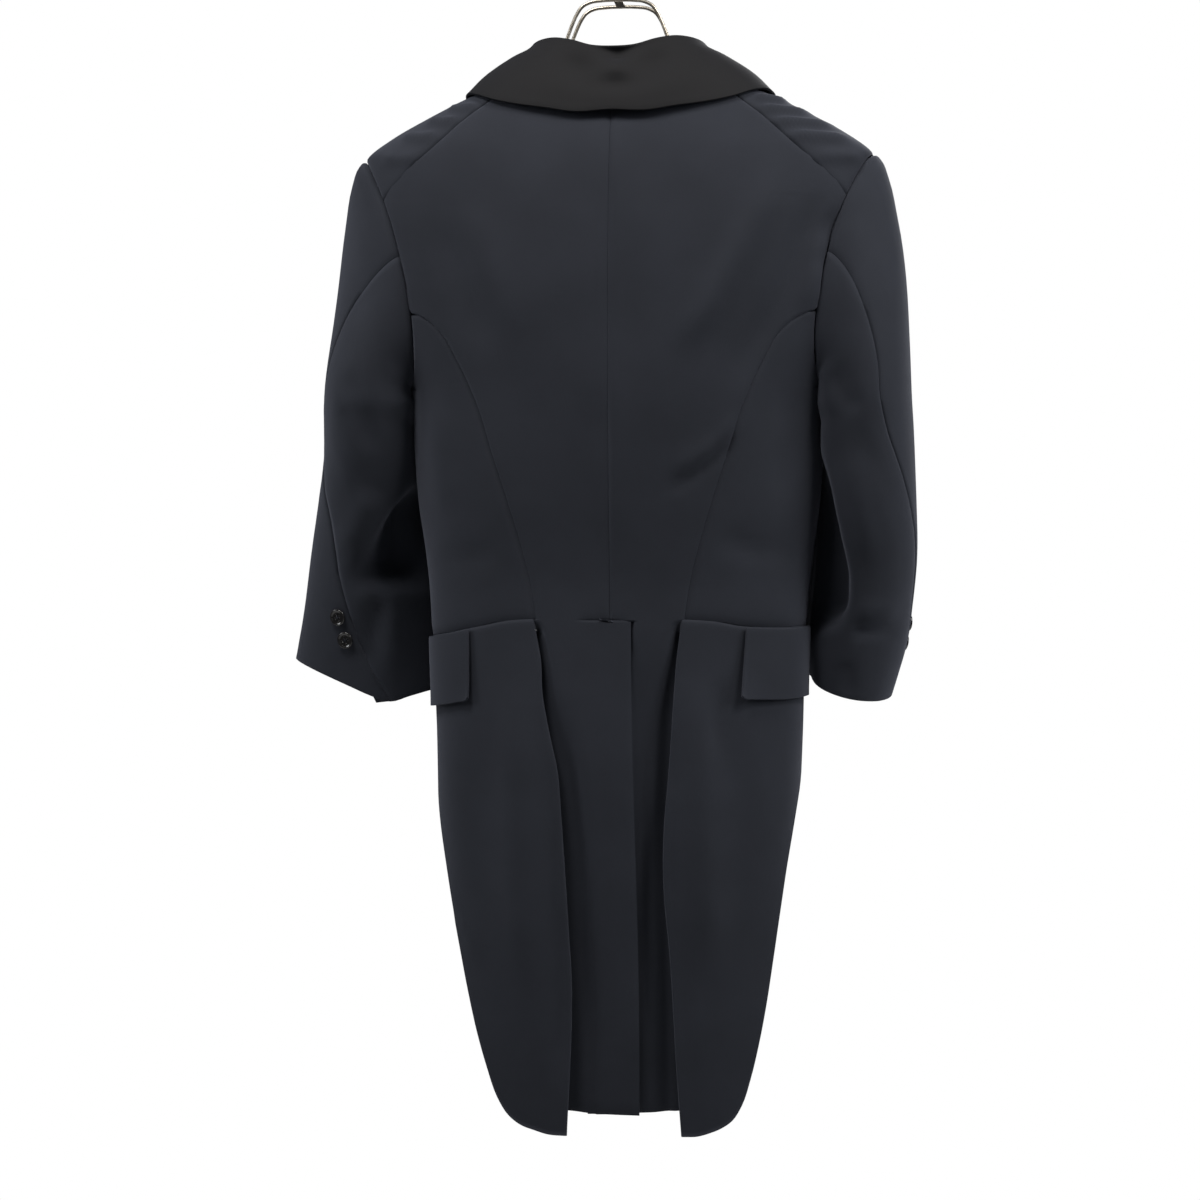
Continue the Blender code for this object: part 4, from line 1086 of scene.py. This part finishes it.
def button_piece(name, centre, way, size, turned, material, thread):
    """Four-hole button: a raised rim, a dished middle with four holes, and crossed thread."""
    radius, height = size
    across = unit(np.cross(way, np.array([0.0, 0.0, 1.0])))
    up = np.cross(across, way)
    c, s = math.cos(turned), math.sin(turned)
    across, up = across * c + up * s, up * c - across * s
    last = len(BUTTON) - 2
    steps = list(range(last + 1)) + [last + i / 14.0 for i in range(1, 15)]
    hole = BUTTON_HOLE

    def place(u, v):
        at = steps[int(round(v * (len(steps) - 1)))]
        low = min(int(at), last)
        wide = blend(BUTTON[low][0], BUTTON[low + 1][0], at - low)
        high = blend(BUTTON[low][1], BUTTON[low + 1][1], at - low)
        x = wide * math.cos(2.0 * math.pi * u)
        z = wide * math.sin(2.0 * math.pi * u)
        if at > last - 0.5:
            for hole_x, hole_z in ((hole, hole), (-hole, hole), (-hole, -hole), (hole, -hole)):
                high -= 0.6 * float(1.0 - ease(math.hypot(x - hole_x, z - hole_z), 0.08, 0.13))
        return centre + way * (high * height) + (across * x + up * z) * radius

    mesh = bmesh.new()
    wrapped(mesh, len(steps) - 1, 72, place)
    finished("round_" + name, mesh, material, name)
    mesh = bmesh.new()
    for sign in (1.0, -1.0):
        path = []
        for t in np.linspace(-hole, hole, 9):
            high = 0.5 + 0.34 * (1.0 - (t / hole) ** 2) ** 0.5
            path.append(centre + way * (high * height) + (across * t + up * (t * sign)) * radius)
        tube(mesh, np.array(path), 0.3, 8, False)
    finished("thread_" + name, mesh, thread, None)


def cuff_buttons(side, material, thread):
    """Two buttons beside the elbow seam, above the cuff."""
    seam = ELBOW_SEAM_LEFT if side < 0 else ELBOW_SEAM_RIGHT
    beside = 11.5 if side < 0 else 30.0
    for number, down in ((1, 0.838), (2, 0.768)):
        angle = float(curve(seam, down)) - beside
        middle = sleeve_section(side, angle, down)
        along = sleeve_section(side, angle + 2.0, down) - sleeve_section(side, angle - 2.0, down)
        drop = sleeve_section(side, angle, down + 0.01) - sleeve_section(side, angle, down - 0.01)
        inside = np.array([side * 218.0, 34.0, middle[2]])
        way = unit(turned_to(np.cross(along, drop), middle - inside))
        name = sided("cuff_button", side) + "_" + str(number)
        button_piece(name, middle + way * BUTTON_SEAT, way, CUFF_BUTTON, 0.4, material, thread)


def closing_button(material, thread):
    """The one button at the waist that closes the front."""
    middle = np.array([0.0, float(half_depth(0.0, BUTTON_Z, True)), BUTTON_Z])
    way = facing(middle)
    button_piece("front_button", middle + way * BUTTON_SEAT, way, FRONT_BUTTON, 0.5, material, thread)


def tube(mesh, path, radius, sides, closed):
    """Round tube along a path of points, closed into a ring or capped at its ends."""
    count = len(path)
    if closed:
        ways = np.roll(path, -1, axis=0) - np.roll(path, 1, axis=0)
    else:
        ways = np.gradient(path, axis=0)
    ways = unit(ways)
    turn = np.array([0.02, 1.0, 0.01])
    turns = []
    for way in np.concatenate([ways, ways[:1]]):
        turn = unit(turn - way * float(turn @ way))
        turns.append(turn)
    # the twist that is left when the ring closes, spread evenly along it
    left = turns[-1]
    other = np.cross(ways[0], turns[0])
    twist = math.atan2(float(left @ other), float(left @ turns[0])) if closed else 0.0

    def place(u, v):
        if closed:
            i = int(round(v * count))
            shrink = 1.0
        else:
            i = min(max(int(round(v * (count + 1))) - 1, 0), count - 1)
            shrink = 0.0 if v < 0.001 or v > 0.999 else 1.0
        spot = path[i % count]
        way = ways[i % count]
        first = turns[i]
        second = np.cross(way, first)
        a = 2.0 * math.pi * u - twist * i / count
        return spot + (first * math.cos(a) + second * math.sin(a)) * radius * shrink

    wrapped(mesh, count if closed else count + 1, sides, place)


def rod_path():
    """Middle line of the hanger: two runs over the shoulders, joined by a turn at each end."""
    near = [np.array([-x, -ROD_SPREAD, z]) for x, z in ROD[:0:-1]]
    near += [np.array([x, -ROD_SPREAD, z]) for x, z in ROD]
    end_x, end_z = ROD[-1]
    turn = []
    for step in range(1, 8):
        a = math.pi * step / 8.0
        out = ROD_SPREAD * math.sin(a) * 0.62
        turn.append(np.array([end_x + out, -ROD_SPREAD * math.cos(a), end_z - out * 0.66]))
    half = near + turn
    return half + [np.array([-p[0], -p[1], p[2]]) for p in half]


def hanger_pieces(steel, dark):
    """The bent rod, and the round spacer that holds its two runs apart at the top."""
    path = rod_path()
    loop = refine([path[-2:] + path + path[:3]], 1, FINE)[0]
    mesh = bmesh.new()
    tube(mesh, loop[2 * FINE:(2 + len(path)) * FINE], ROD_RADIUS, 20, True)
    finished("bent_rod", mesh, steel, "hanger_rod")
    mesh = bmesh.new()
    length = 2.0 * ROD_SPREAD - 2.0 * ROD_RADIUS - 0.6
    bmesh.ops.create_cone(mesh, cap_ends=True, segments=40, radius1=SPACER_RADIUS * MM,
                          radius2=SPACER_RADIUS * MM, depth=length * MM)
    rim = [edge for edge in mesh.edges if edge.calc_face_angle(0.0) > 1.2]
    bmesh.ops.bevel(mesh, geom=rim, offset=0.5 * MM, segments=3, profile=0.5, affect="EDGES", material=-1)
    for vertex in mesh.verts:
        x, y, z = vertex.co
        vertex.co = (x * 1.5, -z, y + 2.8 * MM)
    finished("round_spacer", mesh, dark, "hanger_spacer")


def shader_of(material):
    return material.node_tree.nodes["Principled BSDF"]


def add_node(owner, kind, inputs, **settings):
    """Node of a material or world, its inputs set to numbers or linked to other nodes' outputs."""
    node = owner.node_tree.nodes.new("ShaderNode" + kind)
    for key, value in settings.items():
        setattr(node, key, value)
    set_inputs(owner, node, inputs)
    return node


def set_inputs(owner, node, inputs):
    """Gives each named input its number, or its link."""
    for key, value in inputs.items():
        if isinstance(value, bpy.types.NodeSocket):
            owner.node_tree.links.new(value, node.inputs[key])
        else:
            node.inputs[key].default_value = value


def new_material(name):
    """Material with the coordinates that its patterns read."""
    material = bpy.data.materials.new(name)
    material.use_nodes = True
    return material, add_node(material, "TexCoord", {}).outputs


def noise(material, place, scale, detail=2.0, rough=0.5):
    """Noise pattern fixed to the piece."""
    inputs = {"Vector": place["Object"], "Scale": scale, "Detail": detail, "Roughness": rough}
    return add_node(material, "TexNoise", inputs).outputs["Fac"]


def two_tone(material, pattern, dark, light, low=0.0, high=1.0):
    """Colour that goes from dark to light with a pattern."""
    ramp = add_node(material, "ValToRGB", {"Fac": pattern})
    for element, place, colour in zip(ramp.color_ramp.elements, (low, high), (dark, light)):
        element.position = place
        element.color = (*colour, 1.0)
    return ramp.outputs["Color"]


def between(material, pattern, low, high):
    """Value that goes from low to high with a pattern."""
    inputs = {"Value": pattern, "To Min": low, "To Max": high}
    return add_node(material, "MapRange", inputs).outputs["Result"]


def raised(material, height, strength, distance):
    """Surface direction bumped by a pattern."""
    inputs = {"Strength": strength, "Distance": distance, "Height": height}
    return add_node(material, "Bump", inputs).outputs["Normal"]


def weighed(material, operation, *values):
    """Sum or product of patterns and numbers."""
    inputs = dict(enumerate(values))
    return add_node(material, "Math", inputs, operation=operation).outputs["Value"]


def cloth_material(name, dark, light, rough, bump, sheen, twill):
    """Fine wool: twill lines and fibre noise for bump, slow and fine changes of colour."""
    material, place = new_material(name)
    wave = add_node(material, "TexWave", {"Vector": place["UV"], "Scale": twill, "Distortion": 0.6,
                                          "Detail": 1.0, "Detail Scale": 2.0},
                    wave_type="BANDS", bands_direction="DIAGONAL").outputs["Fac"]
    fibre = noise(material, place, 1400.0, 3.0, 0.65)
    slow = noise(material, place, 14.0, 3.0)
    weave = weighed(material, "MULTIPLY_ADD", wave, 0.45, fibre)
    tone = weighed(material, "MULTIPLY_ADD", slow, 0.5, weighed(material, "MULTIPLY", fibre, 0.5))
    set_inputs(material, shader_of(material), {
        "Base Color": two_tone(material, tone, dark, light, 0.36, 0.66),
        "Roughness": between(material, fibre, rough - 0.06, rough + 0.06),
        "Normal": raised(material, weave, bump, 0.0002),
        "Specular IOR Level": 0.28,
        "Sheen Weight": sheen,
        "Sheen Roughness": 0.55,
        "Sheen Tint": (0.75, 0.8, 1.0, 1.0),
    })
    return material


def resin_material():
    """Black button resin, polished, with faint clouds."""
    material, place = new_material("polished black resin")
    cloud = noise(material, place, 260.0, 4.0)
    set_inputs(material, shader_of(material), {
        "Base Color": two_tone(material, cloud, (0.005, 0.005, 0.006), (0.016, 0.014, 0.013)),
        "Roughness": between(material, cloud, 0.12, 0.26),
        "Coat Weight": 0.4,
        "Coat Roughness": 0.06,
    })
    return material


def steel_material(name, dark, light, low, high):
    """Drawn steel wire with a fine grain and slight warm tarnish."""
    material, place = new_material(name)
    stain = noise(material, place, 90.0, 5.0)
    set_inputs(material, shader_of(material), {
        "Base Color": two_tone(material, stain, dark, light, 0.3, 0.7),
        "Metallic": 1.0,
        "Roughness": between(material, stain, low, high),
        "Normal": raised(material, noise(material, place, 1500.0), 0.12, 0.0001),
    })
    return material


def area_light(name, spot, target, size, power, colour, spread):
    """Round soft light."""
    data = bpy.data.lights.new(name, "AREA")
    data.shape = "DISK"
    data.size = size
    data.energy = power
    data.color = colour
    data.spread = math.radians(spread)
    lamp = bpy.data.objects.new(name, data)
    bpy.context.scene.collection.objects.link(lamp)
    lamp.location = spot
    way = Vector(target) - Vector(spot)
    lamp.rotation_euler = way.to_track_quat("-Z", "Y").to_euler()


def set_stage():
    """Pale floor, white surroundings that light the coat only faintly, and soft studio lights."""
    mesh = bmesh.new()
    bmesh.ops.create_circle(mesh, cap_ends=True, segments=96, radius=FLOOR_RADIUS)
    data = bpy.data.meshes.new("pale_floor")
    mesh.to_mesh(data)
    mesh.free()
    floor = bpy.data.objects.new("pale_floor", data)
    floor.location = (0.0, 0.0, FLOOR_Z)
    bpy.context.scene.collection.objects.link(floor)
    pale = bpy.data.materials.new("pale floor")
    pale.use_nodes = True
    white = (1.0, 1.0, 1.0, 1.0)
    set_inputs(pale, shader_of(pale), {"Base Color": (0.9, 0.9, 0.9, 1.0), "Roughness": 0.8,
                                       "Emission Color": white, "Emission Strength": 0.3})
    data.materials.append(pale)

    world = bpy.data.worlds.new("studio")
    bpy.context.scene.world = world
    world.use_nodes = True
    world.node_tree.nodes.clear()
    seen = add_node(world, "Background", {"Color": white, "Strength": 1.0})
    glow = add_node(world, "Background", {"Color": (0.92, 0.96, 1.0, 1.0), "Strength": 0.05})
    path = add_node(world, "LightPath", {})
    choose = add_node(world, "MixShader", {"Fac": path.outputs["Is Camera Ray"],
                                           1: glow.outputs["Background"], 2: seen.outputs["Background"]})
    add_node(world, "OutputWorld", {"Surface": choose.outputs["Shader"]})
    for light in LIGHTS:
        area_light(*light)


def set_camera():
    """Camera at the photograph's height and angle."""
    s, c = math.sin(CAMERA_TURN), math.cos(CAMERA_TURN)
    data = bpy.data.cameras.new("camera")
    data.lens = CAMERA_LENS
    data.sensor_width = 36.0
    data.clip_start = 0.05
    data.clip_end = 50.0
    camera = bpy.data.objects.new("camera", data)
    camera.location = Vector((CAMERA_AWAY * s + CAMERA_ASIDE * c, -CAMERA_AWAY * c + CAMERA_ASIDE * s,
                              CAMERA_HEIGHT)) * MM
    camera.rotation_euler = (math.radians(90.0), 0.0, CAMERA_TURN)
    bpy.context.scene.collection.objects.link(camera)
    bpy.context.scene.camera = camera


bpy.context.scene.view_settings.view_transform = "Standard"
wool = cloth_material("midnight wool", (0.0098, 0.0117, 0.0172), (0.0165, 0.019, 0.0268),
                      rough=0.86, bump=0.35, sheen=0.12, twill=900.0)
barathea = cloth_material("collar barathea", (0.0036, 0.0035, 0.0042), (0.006, 0.0057, 0.0065),
                          rough=0.8, bump=0.22, sheen=0.03, twill=1300.0)
resin = resin_material()
steel = steel_material("polished wire", (0.46, 0.41, 0.33), (0.64, 0.59, 0.51), 0.3, 0.45)
dark_steel = steel_material("dark steel", (0.12, 0.1, 0.08), (0.22, 0.19, 0.15), 0.3, 0.5)

for side in (-1.0, 1.0):
    piece = torso_cloth(sided("back", side), back_rows(side), wool, lambda p, s=side: back_lift(s, p),
                        tucks="l" if side > 0 else "")
    piece = torso_cloth(sided("side_body", side), side_rows(side), wool, side_lift, tucks="tlr")
    piece = torso_cloth(sided("front", side), front_rows(side), wool, lambda p, s=side: front_lift(s, p),
                        fine=FRONT_FINE, tucks="t")
    piece = tail_cloth(side, wool)
    piece = flap_cloth(side, wool)
    top, under = sleeve_cloths(side, wool)
    piece = lapel_cloth(side, barathea)
    cuff_buttons(side, resin, wool)

piece = collar_cloth(barathea)
closing_button(resin, wool)
hanger_pieces(steel, dark_steel)
set_stage()
set_camera()
